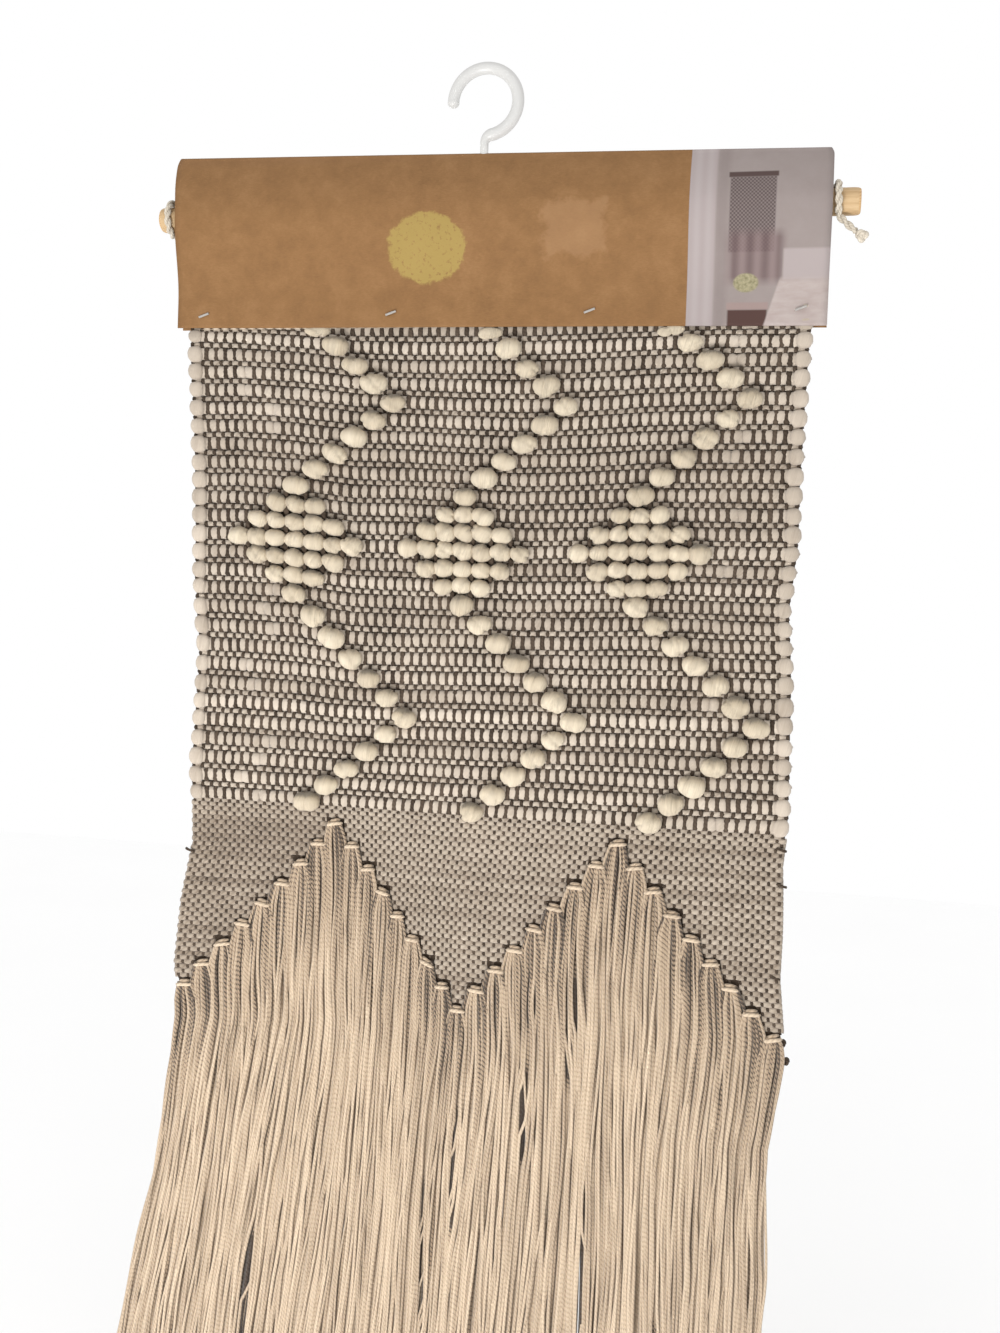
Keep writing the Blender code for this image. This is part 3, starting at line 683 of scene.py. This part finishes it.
def hanging_cord():
    half = (ROD_HIGH.x - ROD_LOW.x) / 2
    out_left, out_right = 0.008 - half, half - 0.0136
    route = LEFT_TAIL + wrap(out_left, out_left, -50, -292, 8) + RUN
    route += wrap(out_right, out_right + 0.001, 58, 238, 6) + RIGHT_TAIL
    path = smooth_route(route, 8) + np.array(ROD)
    shape = Shape()
    plied(shape, path, 2, PLY_RADIUS, PLY_OFFSET, CORD_LAY)
    rope = shape.make("hanging_cord_rope", CORD, settle_it=False)
    rides(rope, "header", "cotton_cord", "hanging_cord")
    for side, end, before in (("left", path[0], path[4]), ("right", path[-1], path[-5])):
        made = cord_knot(f"cord_knot_{side}", end, before)
        rides(made, "header", "cotton_cord", f"cord_knot_{side}")
    length = float(travelled(path)[-1])


# The weave


# Half sizes of the thick rows, their side loops, the thin picks, the bars, the dots and the band's yarns
ROVING_HALF = (0.0041, 0.0029)
LOOP_HALF = (0.0050, 0.0034)
PICK_HALF = (0.00165, 0.0013)
BAR_HALF, DOT_HALF, WARP_HALF_DEPTH = 0.00148, 0.00118, 0.0006
BAND_PICK_HALF = (0.0018, 0.0012)
BAND_WARP_HALF = (0.00098, 0.0005)
LOOP_REACH = 0.0043             # half of a side loop's length
BOBBLE_RINGS, BOBBLE_SIDES = 15, 20


def row_z(row):
    return ROW_ZERO_Z - ROW * row


def squeezed(z):
    """How thick the cloth is at a height: pressed flat between the card's leaves, full below them."""
    return 0.55 + 0.45 * step(0.0, 0.008, CARD_LOW.z - z)


def bobbles_at(row):
    """(offset, count) of a chain's bobbles in a row, in places from the diamond's middle."""
    if row <= 5:
        return 5 - abs(row), 1
    if row <= 10:
        return 0, 7 - 2 * abs(row - 8)
    return (row - 11 if row <= 17 else 23 - row), 1


def thick_rows():
    """Fat roving: it bulges forward between the warp bars and has a loop past each outer bar."""
    cell = np.array([-0.5, -0.3, -0.16, 0.0, 0.16, 0.3])
    rings = ((np.arange(BARS)[:, None] + 0.5 + cell[None]).reshape(-1) - BARS / 2) * BAR
    ends = np.array([-0.0022, -0.0020, -0.0013, 0.0])
    edge = BARS / 2 * BAR
    x = np.concatenate([-edge + ends, rings, edge - ends[::-1]])
    phase = np.cos(2 * np.pi * (x / BAR + BARS / 2 + 0.5))
    pinch = np.clip(phase, 0, 1) ** 2
    inside = np.clip((edge + 0.0024 - np.abs(x)) / 0.0024, 0, 1) ** 0.5
    reach = np.sin(np.linspace(-0.5, 0.5, 9) * np.pi)
    bulge = np.clip(1 - np.abs(reach) ** 4.5, 0, 1) ** 0.5
    paths, wide, deep = [], [], []
    loops, loop_wide, loop_deep = [], [], []
    for row in range(FIRST_ROW - HIDDEN_ROWS, LAST_ROW + 1):
        z = row_z(row)
        flat = squeezed(z)
        wander = 0.00025 * np.sin(x * 61 + row * 2.1) + jitter(0.0002, len(x))
        y = (0.00055 * phase + jitter(0.00012, len(x))) * flat
        paths.append(np.stack([x + CENTRE_X, y, z + wander], 1))
        swell = 1 + 0.05 * np.sin(x * 40 + row * 1.7) + jitter(0.035, len(x))
        wide.append(ROVING_HALF[0] * (1 - 0.05 * pinch) * inside * (0.97 + 0.03 * swell))
        deep.append(ROVING_HALF[1] * (1 - 0.16 * pinch) * inside * flat * swell)
        for side in (-1, 1):
            size = RANDOM.uniform(0.92, 1.10)
            loops.append(np.stack([
                CENTRE_X + side * (edge - 0.0021 + LOOP_REACH * size * reach),
                -0.0012 * flat - 0.0006 * bulge * flat,
                z + RANDOM.normal(0, 0.0003) + 0.0004 * side * reach], 1))
            loop_wide.append(LOOP_HALF[0] * size * bulge + 0.0002)
            loop_deep.append(LOOP_HALF[1] * size * bulge * flat + 0.0002)
    shape = Shape()
    shape.tubes(paths, wide, deep, sides=10, square=0.85)
    tones = RANDOM.uniform(0.1, 0.8, len(loops))
    shape.tubes(loops, loop_wide, loop_deep, sides=14, square=0.8, tones=tones)
    hangs(shape.make("thick_rows", WEFT), "woven_cloth")


def warp_heights(over):
    """Heights and forward reach of one warp through the thick rows, over them or behind them."""
    z, y, width = [], [], []
    bends = ((0.36, 0.55), (0.25, 0.93), (0.0, 1.0), (-0.25, 0.93), (-0.36, 0.55))
    if not over:
        bends = ((0.42, -0.35), (0.30, 0.6), (0.0, 1.0), (-0.30, 0.6), (-0.42, -0.35))
    for row in range(FIRST_ROW - HIDDEN_ROWS, LAST_ROW + 1):
        middle = row_z(row)
        for share, reach in bends:
            z.append(middle + share * ROW)
            y.append(reach)
            width.append(1.0 if abs(share) < 0.3 else 0.9)
        z.append(middle - 0.5 * ROW)
        y.append(-0.35)
        width.append(1.05)
    z, y, width = np.array(z), np.array(y), np.array(width)
    return z, np.where(y > 0, -0.0026 * y, 0.0019) * (1 if over else -1) * squeezed(z), width


def warps():
    """Charcoal bars over the thick rows, and between them the warps that only show on the thin picks."""
    bar_places, dot_places = np.arange(BARS) - BARS / 2 + 0.5, np.arange(BARS + 1) - BARS / 2
    for name, places, half in (("warp_bars", bar_places, BAR_HALF), ("warp_dots", dot_places, DOT_HALF)):
        over = name == "warp_bars"
        z, y, width = warp_heights(over)
        x = places[:, None] * BAR + jitter(0.00018, (len(places), len(z)))
        sway = jitter(0.0002, x.shape)
        paths = np.stack([x + CENTRE_X, y[None] + 0 * x, z[None] + sway], -1)
        if over:
            hidden = missed_bars(places, z)
            hidden[[0, -1]] = True      # the outermost bars lie behind the side loops
            paths[..., 1] = np.where(hidden, 0.0012, paths[..., 1])
        wide = np.broadcast_to(half * width, x.shape) * (1 + jitter(0.10, x.shape))
        shape = Shape()
        shape.tubes(paths, wide, WARP_HALF_DEPTH + 0 * wide, sides=6)
        hangs(shape.make(name, WARP_YARN), "woven_cloth")


def missed_bars(places, z):
    """Places on the bars that the roving has slipped over, near two uprights of the cloth."""
    row = np.round((ROW_ZERO_Z - z) / ROW)
    found = np.zeros((len(places), len(z)), bool)
    for middle in (-24, 24):
        for line in range(FIRST_ROW - HIDDEN_ROWS, LAST_ROW + 1):
            if RANDOM.random() < 0.6:
                pick = middle + int(RANDOM.integers(-2, 2)) + 0.5
                found |= (np.abs(places[:, None] - pick) < 0.1) & (row[None] == line)
    return found


def thin_picks():
    """One thin pick after each thick row: forward at the bars, behind the warps between them."""
    x = (np.arange(4 * BARS + 1) / 2 - BARS) * WARP
    crest = np.cos(2 * np.pi * (x / BAR + BARS / 2 + 0.5))
    shape = Shape()
    paths, deep = [], []
    for row in range(FIRST_ROW - HIDDEN_ROWS - 1, LAST_ROW + 1):
        z = row_z(row + 0.5) + (0.0012 if row == LAST_ROW else 0.0)
        flat = squeezed(z)
        height = z + jitter(0.00012, len(x))
        paths.append(np.stack([x + CENTRE_X, (-0.0006 - 0.0009 * crest) * flat, height], 1))
        deep.append(np.full(len(x), PICK_HALF[1] * flat))
    wide = PICK_HALF[0] + jitter(0.0001, (len(paths), len(x)))
    shape.tubes(paths, wide, deep)
    hangs(shape.make("thin_picks", PICK), "woven_cloth")


def band_edge(x):
    """Height of the band's lower edge at a place across the cloth: it steps from knot to knot."""
    index = np.clip(np.round((x - KNOTS[0].x) / TASSEL_PITCH).astype(int), 0, TASSELS - 1)
    return np.array([k.z for k in KNOTS])[index] + 0.0004


def plain_band():
    """Close plain weave under the thick rows, down to the knots."""
    lowest = min(k.z for k in KNOTS)
    count = int((WEAVE_END_Z - lowest) / BAND_PICK)
    x = np.arange(-2 * BARS - 1, 2 * BARS + 2) / 2 * WARP
    picks = Shape()
    for k in range(count):
        z = WEAVE_END_Z - BAND_PICK * (k + 0.5)
        lift = np.cos(np.pi * (x / WARP + k))
        kept = band_edge(x + CENTRE_X) < z - 0.0005
        cuts = np.flatnonzero(np.diff(kept.astype(int))) + 1
        for run in np.split(np.arange(len(x)), cuts):
            if not kept[run[0]] or len(run) < 3:
                continue
            height = z + jitter(0.00012, len(run))
            line = np.stack([x[run] + CENTRE_X, -0.00080 * lift[run], height], 1)
            line[[0, -1], 0] += np.array([-0.0008, 0.0008])
            tone = RANDOM.random() - 0.5 * (1 - step(CENTRE_X - 0.15, CENTRE_X - 0.05, line[:, 0]))
            picks.tubes(line[None], *BAND_PICK_HALF, tones=tone[None])
    hangs(picks.make("band_picks", BAND_YARN), "woven_cloth")
    threads = Shape()
    for j in range(-BARS, BARS + 1):
        place = CENTRE_X + j * WARP
        low = float(band_edge(np.array([place]))[0])
        steps = int((WEAVE_END_Z - low) / BAND_PICK * 2)
        z = WEAVE_END_Z - BAND_PICK / 2 * (np.arange(-1, steps + 1) + 1)
        lift = np.cos(np.pi * ((WEAVE_END_Z - z) / BAND_PICK - 0.5 + j))
        line = np.stack([place + jitter(0.00012, len(z)), 0.00115 * lift, z], 1)
        threads.tubes(line[None], *BAND_WARP_HALF, sides=6, tones=RANDOM.random(1))
    hangs(threads.make("band_warps", WARP_YARN), "woven_cloth")


def shade_backing():
    """A closed, thin dark sheet behind the warps and picks, cut to the knots' zigzag: painted shade that
    shows in the gaps between the yarns and above the knots.
    """
    columns = np.linspace(-BARS * WARP, BARS * WARP, 4 * TASSELS + 1) + CENTRE_X
    share = np.linspace(0, 1, 91)[:, None]
    top = SLEEVE_LOW.z + 0.004
    low = band_edge(columns)[None] - 0.0060
    z = top + (low - top) * share
    x = np.broadcast_to(columns[None], z.shape)
    front = np.stack([x, np.full(z.shape, -0.0003), z], -1)
    back = np.stack([x, np.full(z.shape, 0.0003), z], -1)
    shape = Shape()
    shape.slab(front, back)
    made = hangs(shape.make("shade_backing", SHADE_BACKING), "woven_cloth", "woven_panel", "plain_band")
    width = float(columns[-1] - columns[0])
    length = float(top - min(k.z for k in KNOTS))
    area = float(np.trapz((top - low)[0], columns))
    return made, (width, length), area


def bobbles():
    """Soft lumps of roving pulled up between the warps, touching side by side in the diamonds."""
    t = np.sin(np.linspace(-0.5, 0.5, BOBBLE_RINGS) * np.pi)
    profile = np.clip(1 - np.abs(t) ** 2.2, 0, 1) ** 0.5
    for side, middle in CHAIN_MIDDLES.items():
        shape = Shape()
        paths, wide, deep = [], [], []
        for row in range(FIRST_ROW - 1, LAST_ROW + 1):
            offset, count = bobbles_at(row)
            under = row < FIRST_ROW
            flat = 0.35 if under else 1.0
            for k in range(count):
                place = (middle + offset - (count - 1) / 2 + k) * PLACE
                grow = 1 + jitter(0.05)
                z = row_z(row) - 0.0006 + jitter(0.0003) - (0.0022 if under else 0)
                length = (0.0078 if count == 1 else 0.0067) * grow
                tilt = jitter(0.0008) - (0.0008 if count > 1 and side != "right" else 0)
                rise = (0.0045 + jitter(0.0004)) * flat
                crown = 1 - t * t
                y = -rise - 0.0009 * crown * flat
                paths.append(np.stack([CENTRE_X + place + t * length, y, z + tilt * t - 0.0005 * crown], 1))
                lump = 1 + jitter(0.03, BOBBLE_RINGS)
                tall = 0.0036 if under else 0.0060 if count == 1 else 0.0056
                wide.append(tall * grow * profile * lump + 0.0002)
                deep.append(0.0056 * grow * profile * lump * flat + 0.0002)
        shape.tubes(paths, wide, deep, sides=BOBBLE_SIDES, square=0.96)
        puff(shape)
        shade_bobble_tops(shape)
        hangs(shape.make(f"bobbles_{side}", ROVING), "bobble_roving", f"bobble_chain_{side}")
    warp_peeps()


def warp_peeps():
    """Charcoal warp that shows in the corners between a diamond's bobbles."""
    shape = Shape()
    t = np.linspace(-1, 1, 7)
    lines = []
    for middle in CHAIN_MIDDLES.values():
        for row in range(6, 11):
            count = bobbles_at(row)[1]
            for k in range(count - 1):
                x = CENTRE_X + (middle - (count - 2) / 2 + k) * PLACE
                for shift in (0.5, -0.5):
                    across = x + jitter(0.0004) + 0 * t
                    z = row_z(row) + shift * ROW
                    lines.append(np.stack([across, -0.0058 + 0.0022 * t ** 2, z + 0.0030 * t], 1))
    shape.tubes(lines, 0.0016 * (1 - 0.4 * t ** 2), 0.0009, sides=7)
    hangs(shape.make("warp_peeps", WARP_YARN), "woven_cloth")


def shade_bobble_tops(shape):
    """Painted shade: the roving is greyer along the top of each bobble, where the shade falls, than below.
    """
    points = shape.points[-1].reshape(-1, BOBBLE_RINGS, BOBBLE_SIDES, 3)
    height = points[..., 2] - points[..., 2].mean(axis=(1, 2), keepdims=True)
    tone = shape.tones[-1].reshape(height.shape) * 0.7 + 0.40
    shape.tones[-1] = (tone - 1.5 * step(-0.0005, 0.0055, height)).reshape(-1)


def puff(shape):
    """Twisted ribs and small dents in each bobble, along its own slant."""
    points = shape.points[-1].reshape(-1, BOBBLE_RINGS, BOBBLE_SIDES, 3)
    middle = points.mean(axis=(1, 2), keepdims=True)
    out = points - middle
    size = np.linalg.norm(out, axis=-1, keepdims=True)
    lean = RANDOM.uniform(-1, 1, (len(points), 1, 1))
    phase = RANDOM.uniform(0, 6.3, (len(points), 1, 1))
    slant = out[..., 0] * (1 - 0.4 * np.abs(lean)) + out[..., 2] * lean * 1.3
    rib = np.sin(slant / 0.0022 + phase) * 0.00036 + np.sin(out[..., 2] / 0.0028 + phase * 2) * 0.00025
    groove = -0.0015 * np.exp(-((slant - 0.002 * np.sin(phase)) / 0.0008) ** 2) * (np.abs(lean) > 0.35)
    moved = points + out / np.maximum(size, 1e-6) * (rib + groove)[..., None]
    shape.points[-1] = moved.reshape(-1, 3)


# The fringe


FLARE_START_Z = min(k.z for k in KNOTS) - 0.0216
TASSEL_NAMES = [f"tassel_{k:02d}" for k in range(1, TASSELS + 1)]
FLARES = [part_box(name)[0].x + TASSEL_PITCH / 2 - knot.x for name, knot in zip(TASSEL_NAMES, KNOTS)]
FRINGE_RINGS = 44
# Places where the strands part: place and height of the top, then of the bottom, and half the gap
SLITS = [
    (0.0480, -0.484, 0.0487, -0.512, 0.0012),
    (0.0735, -0.480, 0.0710, -0.548, 0.0008),
    (0.0405, -0.535, 0.0445, -0.606, 0.0014),
    (-0.0005, -0.568, 0.0010, -0.662, 0.0010),
    (-0.0218, -0.618, -0.0180, -0.760, 0.0016),
    (0.0840, -0.606, 0.0790, -0.750, 0.0012),
    (-0.1415, -0.664, -0.1500, -0.790, 0.0024),
    (0.1300, -0.690, 0.1260, -0.800, 0.0012),
]
# Strands in a layer, their half width, their place in depth, how far they fan out and how much painted shade
# darkens them inside the tassel
LAYERS = [(10, 0.00105, -0.0026, 1.40, 0.0), (6, 0.00150, 0.0, 1.12, 0.25), (6, 0.00150, 0.0026, 1.20, 0.0)]


def drifted(x, z):
    """The slow sideways wander that neighbouring strands share."""
    return 0.0014 * np.sin(x * 47 + z * 11) + 0.0007 * np.sin(x * 118 - z * 26 + 1.3)


def parted(x, z):
    """How strands step aside at the slits, and how deep in a slit each place is, which sets the painted
    shadow there.
    """
    shift, inside = np.zeros_like(x), np.zeros_like(x)
    x, z = x - ROD.x, z - ROD.z
    for x_top, top, x_low, low, half in SLITS:
        share = np.clip((top - z) / (top - low), 0, 1)
        off = x - (x_top + (x_low - x_top) * share)
        opened = np.sin(np.pi * share) ** 0.6
        shift += np.sign(off) * half * opened * np.exp(-np.abs(off) / 0.005)
        inside = np.maximum(inside, opened * np.exp(-(off / 0.0042) ** 2))
    return shift, inside


def tassel(index):
    knot = KNOTS[index]
    drift = min(0.0, FLARES[index])
    length = knot.z - TIP_Z
    shape = Shape()
    together = 0.0012 * math.sin(index * 2.3 + 0.4)
    for strands, radius, depth, spread, dark in LAYERS:
        ragged = 0.010 * RANDOM.random((strands, 1))
        s = np.linspace(0, 1, FRINGE_RINGS)[None] ** 1.45
        z = knot.z - 0.0020 - s * (length - 0.0030 - ragged)
        fall = knot.z - z
        fan = np.clip(fall / 0.016, 0, 1) ** 0.7
        slot = (np.arange(strands)[:, None] - (strands - 1) / 2) / strands * TASSEL_PITCH
        front = depth < -0.001
        slot = slot + RANDOM.normal(0, 0.0004 if front else 0.0001, (strands, 1))
        sway = np.zeros_like(z)
        for wave in (0.31, 0.17, 0.11):
            phase = RANDOM.uniform(0, 2 * np.pi, (strands, 1))
            size = (0.0016 if front else 0.0006) * wave ** 0.5
            sway += RANDOM.normal(0, size, (strands, 1)) * np.sin(2 * np.pi * fall / wave + phase)
        sway += together * np.sin(2 * np.pi * fall / 0.42 + index * 1.9)
        free = step(0.006, 0.09, fall)
        x = knot.x + slot * (0.42 + (spread - 0.42) * fan) + sway * free
        x += drift * np.clip((FLARE_START_Z - z) / (FLARE_START_Z - TIP_Z), 0, 1)
        x += drifted(x, z) * free
        loose = np.clip(RANDOM.normal(0, 0.0034 if front else 0.0008, (strands, 1)), -0.006, 0.006)
        if index in (0, TASSELS - 1):
            loose = loose * 0.4
        x += loose * step(0.015, 0.20, fall)
        shift, inside = parted(x, z)
        x += shift if front else 0
        size = RANDOM.normal(0, 0.0007, (strands, 1))
        roll = size * np.sin(2 * np.pi * fall / 0.15 + RANDOM.uniform(0, 6.3, (strands, 1)))
        y = depth * (1 + 0.25 * (1 - fan)) + roll * free + np.zeros_like(z)
        # Painted shade: strands darker near the knots, and the middle layer darker as shade inside the
        # tassel.
        tone = RANDOM.uniform(-0.35, 1.0, (strands, 1)) - dark - 0.95 * (1 - step(0.0, 0.12, fall))
        # Painted shadow: middle-layer strands inside the slits go near black.
        tone = tone - 3.5 * inside * (dark > 0)
        thin = radius * (1 + jitter(0.08, (strands, 1))) * (1 - 0.35 * step(0.985, 1.0, s))
        shape.tubes(np.stack([x, y, z], -1), thin, thin, sides=6, tones=tone)
    head(shape, knot)
    made = shape.make(f"fringe_{index + 1:02d}", FRINGE)
    name = TASSEL_NAMES[index]
    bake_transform(made)
    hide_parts(name)


def head(shape, knot):
    """The lark's head: a short loop across the top of the strands, pulled through the cloth."""
    reach = np.linspace(-1, 1, 9)
    tilt = RANDOM.normal(0, 0.0006)
    for half, forward, drop, tone in ((0.0053, 0.0047, 0.0030, 1.0), (0.0034, 0.0030, 0.0010, 0.0)):
        x = knot.x + half * reach
        y = -forward + 0.0026 * np.abs(reach) ** 3
        z = knot.z - drop - 0.0007 * reach ** 2 + tilt * reach
        radius = 0.00125 * (1 - 0.45 * np.abs(reach) ** 4)
        shape.loose_tube(np.stack([x, y, z], 1), radius, 8, tone + float(RANDOM.normal(0, 0.15)))


def stray_ends():
    """Charcoal ends that stick out at the cloth's sides, and two knots below its right corner."""
    shape = Shape()
    rod = np.array([ROD.x, 0, ROD.z])
    reach = np.linspace(-1, 1, 7)
    for x, z in ((0.1915, -0.165), (0.1930, -0.389), (0.1940, -0.411), (0.1925, -0.468), (-0.1935, -0.416)):
        line = np.stack([x + 0.0028 * reach, -0.0015 - 0.0012 * (1 - reach ** 2), z - 0.0008 * reach], 1)
        shape.loose_tube(line + rod, 0.0009, 6, 0.3)
    for x, z in ((0.1985, -0.5085), (0.2010, -0.5195)):
        turn = np.linspace(0, 4.2 * np.pi, 34)
        radius = 0.0013 + 0.0003 * np.cos(turn * 0.7)
        y = -0.001 + radius * np.sin(turn * 1.5)
        line = np.stack([x + radius * np.cos(turn), y, z + radius * np.sin(turn)], 1)
        shape.loose_tube(line + rod, 0.0010, 6, 0.2)
    hangs(shape.make("stray_ends", WARP_YARN, settle_it=False), "woven_cloth")


# The hard pieces


HOOK_WIRE, STEM_WIRE = 0.0076, 0.0052
CARD_THICK = 0.0008
SLEEVE_THICK = 0.0018


def hook():
    """The hook's round wire, with its moulded tip, the bend to the stem and the button below."""
    low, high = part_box("hook")
    wire = HOOK_WIRE / 2
    radius = (high.x - low.x) / 2 - wire
    centre_z = high.z - wire - radius
    leave = math.radians(-78)
    bend = radius * math.cos(leave) / (1 - math.cos(leave))
    angles = np.linspace(math.radians(178), leave, 90)
    loop = np.stack([radius * np.cos(angles), centre_z + radius * np.sin(angles)], 1)
    cx, cz = (radius + bend) * math.cos(leave), centre_z + (radius + bend) * math.sin(leave)
    turn = np.linspace(leave + math.pi, math.pi, 24)[1:]
    neck = np.stack([cx + bend * np.cos(turn), cz + bend * np.sin(turn)], 1)
    stem_z = np.linspace(cz - 0.0006, low.z + 0.0012, 26)
    stem = np.stack([0 * stem_z, stem_z], 1)
    cap = np.linspace(math.radians(88), math.radians(8), 9)
    tip = np.stack([0 * cap + loop[0, 0], loop[0, 1] - wire * np.sin(cap)], 1)
    line = np.concatenate([tip, loop, neck, stem])
    thin = STEM_WIRE / HOOK_WIRE
    thinning = np.linspace(1, thin, len(neck))
    size = np.concatenate([np.cos(cap), np.ones(len(loop)), thinning, np.full(len(stem), thin)])
    size[len(tip):len(tip) + 60] *= 1 - 0.04 * np.linspace(1, 0, 60)
    path = np.stack([line[:, 0], np.zeros(len(line)), line[:, 1]], 1)
    deep = wire * 0.97 * size
    pressed = 1 - step(0.001, 0.006, line[:, 1] - FOLD.z)
    deep = np.where(line[:, 1] < FOLD.z + 0.020, deep + (0.0015 - deep) * pressed, deep)
    shape = Shape()
    shape.tubes(path[None], wire * size[None], deep[None], sides=28, tones=[0.5], start=[0.0])
    button = np.array([0.0001, 0.0040, 0.0045, 0.0045, 0.0041, 0.0024])
    heights = low.z + np.array([0.0, 0.00005, 0.0005, 0.0015, 0.0019, 0.0020])
    line = np.stack([0 * heights, 0 * heights, heights], 1)
    shape.tubes(line[None], button[None], button[None], sides=28)
    rides(shape.make("hook_wire", HOOK, settle_it=False), "hook", "hook_plastic", "hook")


def dowel():
    """The sanded dowel: straight, with its ends eased by hand."""
    half = (ROD_HIGH.x - ROD_LOW.x) / 2
    ease = np.array([0.0, 0.0004, 0.0012, 0.0024, 0.0040])
    shrink = np.array([0.0013, 0.0007, 0.0003, 0.0001, 0.0])
    x = np.concatenate([-half + ease, np.linspace(-half + 0.012, half - 0.012, 40), half - ease[::-1]])
    radius = ROD_RADIUS - np.concatenate([shrink, np.zeros(40), shrink[::-1]])
    radius = radius * (1 + 0.002 * np.sin(x * 91))
    shape = Shape()
    line = np.stack([x + ROD.x, 0 * x, 0 * x + ROD.z], 1)
    shape.tubes(line[None], radius[None], radius[None], sides=48)
    rides(shape.make("dowel", WOOD, settle_it=False), "header", "dowel_wood", "dowel_rod")


def sleeve():
    """The cloth's turned-over top: round the rod and down both sides to the bend under the card."""
    low = SLEEVE_LOW.z + 0.0008
    outer = SLEEVE_HIGH.z - ROD.z - 0.0002
    inner = ROD_RADIUS + 0.0004
    middle = (outer + inner) / 2
    half_tail = 0.00125
    angle = np.linspace(-0.5 * np.pi + 0.30, 1.5 * np.pi - 0.30, 56)
    ring = np.stack([-middle * np.cos(angle), ROD.z + middle * np.sin(angle)], 1)
    tail_z = np.linspace(low, ROD.z - middle + 0.0022, 30)
    left = np.stack([np.full(30, -half_tail), tail_z], 1)
    right = np.stack([np.full(30, half_tail), tail_z[::-1]], 1)
    line = np.concatenate([left, ring, right])
    path = smooth_route(np.c_[line, np.zeros(len(line))], 2)[:, :2]
    tangent = unit(np.gradient(path, axis=0))
    normal = np.stack([-tangent[:, 1], tangent[:, 0]], 1)
    x = (np.arange(2 * BARS + 1) - BARS) * WARP + CENTRE_X
    along = travelled(path)
    turned = np.cos(np.pi * (np.arange(len(x)) % 2))[None]
    rib = 0.00022 * np.cos(2 * np.pi * along[:, None] / 0.0032) * turned
    grids = []
    for side in (1, -1):
        reach = side * (SLEEVE_THICK + rib) / 2
        y, z = (path[:, None, k] + normal[:, None, k] * reach for k in (0, 1))
        grids.append(np.stack([np.broadcast_to(x[None], y.shape), y, z], -1))
    shape = Shape()
    shape.slab(*grids)
    made = shape.make("sleeve_cloth", SLEEVE, settle_it=False)
    rides(made, "header", "woven_cloth", "rod_sleeve")


def card():
    """One folded sheet: it hugs the sleeve, opens a little at its lower edge and dips to the right."""
    top = CARD_HIGH.z - ROD.z
    fold = 0.0016
    at_rod = (CARD_HIGH.y - CARD_LOW.y - CARD_THICK) / 2
    at_edge = 0.0032
    below = ROD.z - CARD_LOW.z
    straight = top - fold - CARD_THICK / 2

    def half(height):
        if height >= 0:
            return at_rod + (fold - at_rod) * (height / straight) ** 1.6
        share = min(1.0, -height / (0.75 * below))
        return at_edge + (at_rod - at_edge) * (1 + math.cos(math.pi * share)) / 2

    heights = np.concatenate([np.linspace(-below, 0, 46)[:-1], np.linspace(0, straight, 24)[:-1]])
    back = np.array([(half(h), h) for h in heights])
    angle = np.linspace(0, math.pi, 13)
    turn = np.stack([fold * np.cos(angle), straight + fold * np.sin(angle)], 1)
    line = np.concatenate([back, turn, back[::-1] * [-1, 1]])
    tangent = unit(np.gradient(line, axis=0))
    normal = np.stack([tangent[:, 1], -tangent[:, 0]], 1)
    share = np.linspace(-1, 1, 91)[None]
    width = (CARD_HIGH.x - CARD_LOW.x) / 2
    middle = (CARD_HIGH.x + CARD_LOW.x) / 2
    grids = []
    for side in (1, -1):
        y, height = (line[:, [k]] + normal[:, [k]] * side * CARD_THICK / 2 for k in (0, 1))
        corner = np.clip((height - straight + 0.004) / 0.006, 0, 1) ** 2
        reach = width - np.where(share > 0, 0.002, 0.001) * corner
        slack = 0.0021 * (1 - step(0.002, 0.034, height)) - 0.0006 * step(0.0, 0.02, height) * (1 - corner)
        x = middle + share * (reach - slack * (share < 0) * np.abs(share) ** 6)
        edge = np.clip(-(height + 0.25 * below) / (0.75 * below), 0, 1)
        wave = 0.0007 * np.sin(share * 5.0 + 0.8) * edge * np.sign(y) * (share ** 2 + 0.3)
        tilt = share * height * np.where(height > 0, -0.0038 / top, 0.0011 / below)
        grids.append(np.stack([x, y + wave, height + tilt + ROD.z], -1))
    shape = Shape()
    shape.slab(*grids)
    rides(shape.make("card", KRAFT, settle_it=False), "header", "kraft_card", "header_card")


def small_parts():
    looks = {f"tag_pin_{k}": NYLON for k in range(1, 5)} | {"hook_plate": HOOK}
    for name, look in looks.items():
        materials = frame["nodes"][name].data.materials
        materials.clear()
        materials.append(look)


# Floor and light


FLOOR_SIZE, FLOOR_DROP = 5.0, 0.03


def area_light(name, at, aim, size, power):
    data = bpy.data.lights.new(name, "AREA")
    data.shape = "DISK"
    data.size = size
    data.energy = power
    made = placed(name, data)
    made.location = at
    made.rotation_euler = (Vector(aim) - Vector(at)).to_track_quat("-Z", "Y").to_euler()


def studio():
    below = (0, 0, TIP_Z - FLOOR_DROP)
    bpy.ops.mesh.primitive_grid_add(x_subdivisions=8, y_subdivisions=8, size=FLOOR_SIZE, location=below)
    floor = bpy.context.object
    floor.name = "floor"
    floor.data.materials.append(FLOOR)
    world = bpy.data.worlds.new("white")
    world.use_nodes = True
    light = world.node_tree.nodes["Background"].inputs
    light["Color"].default_value = (1, 1, 1, 1)
    light["Strength"].default_value = 1.0
    bpy.context.scene.world = world
    bpy.context.scene.view_settings.view_transform = "Standard"
    area_light("low_key", (-0.20, -0.85, -0.94), (0, 0, -0.3), 0.35, 10.0)
    area_light("front_fill", (0.8, -1.8, 0.3), (0, 0, -0.4), 1.4, 2.0)


camera()
hanging_cord()
thick_rows()
warps()
thin_picks()
plain_band()
shade_sheet, flat, area = shade_backing()
bobbles()
for number in range(TASSELS):
    tassel(number)
stray_ends()
hook()
dowel()
sleeve()
card()
small_parts()
studio()
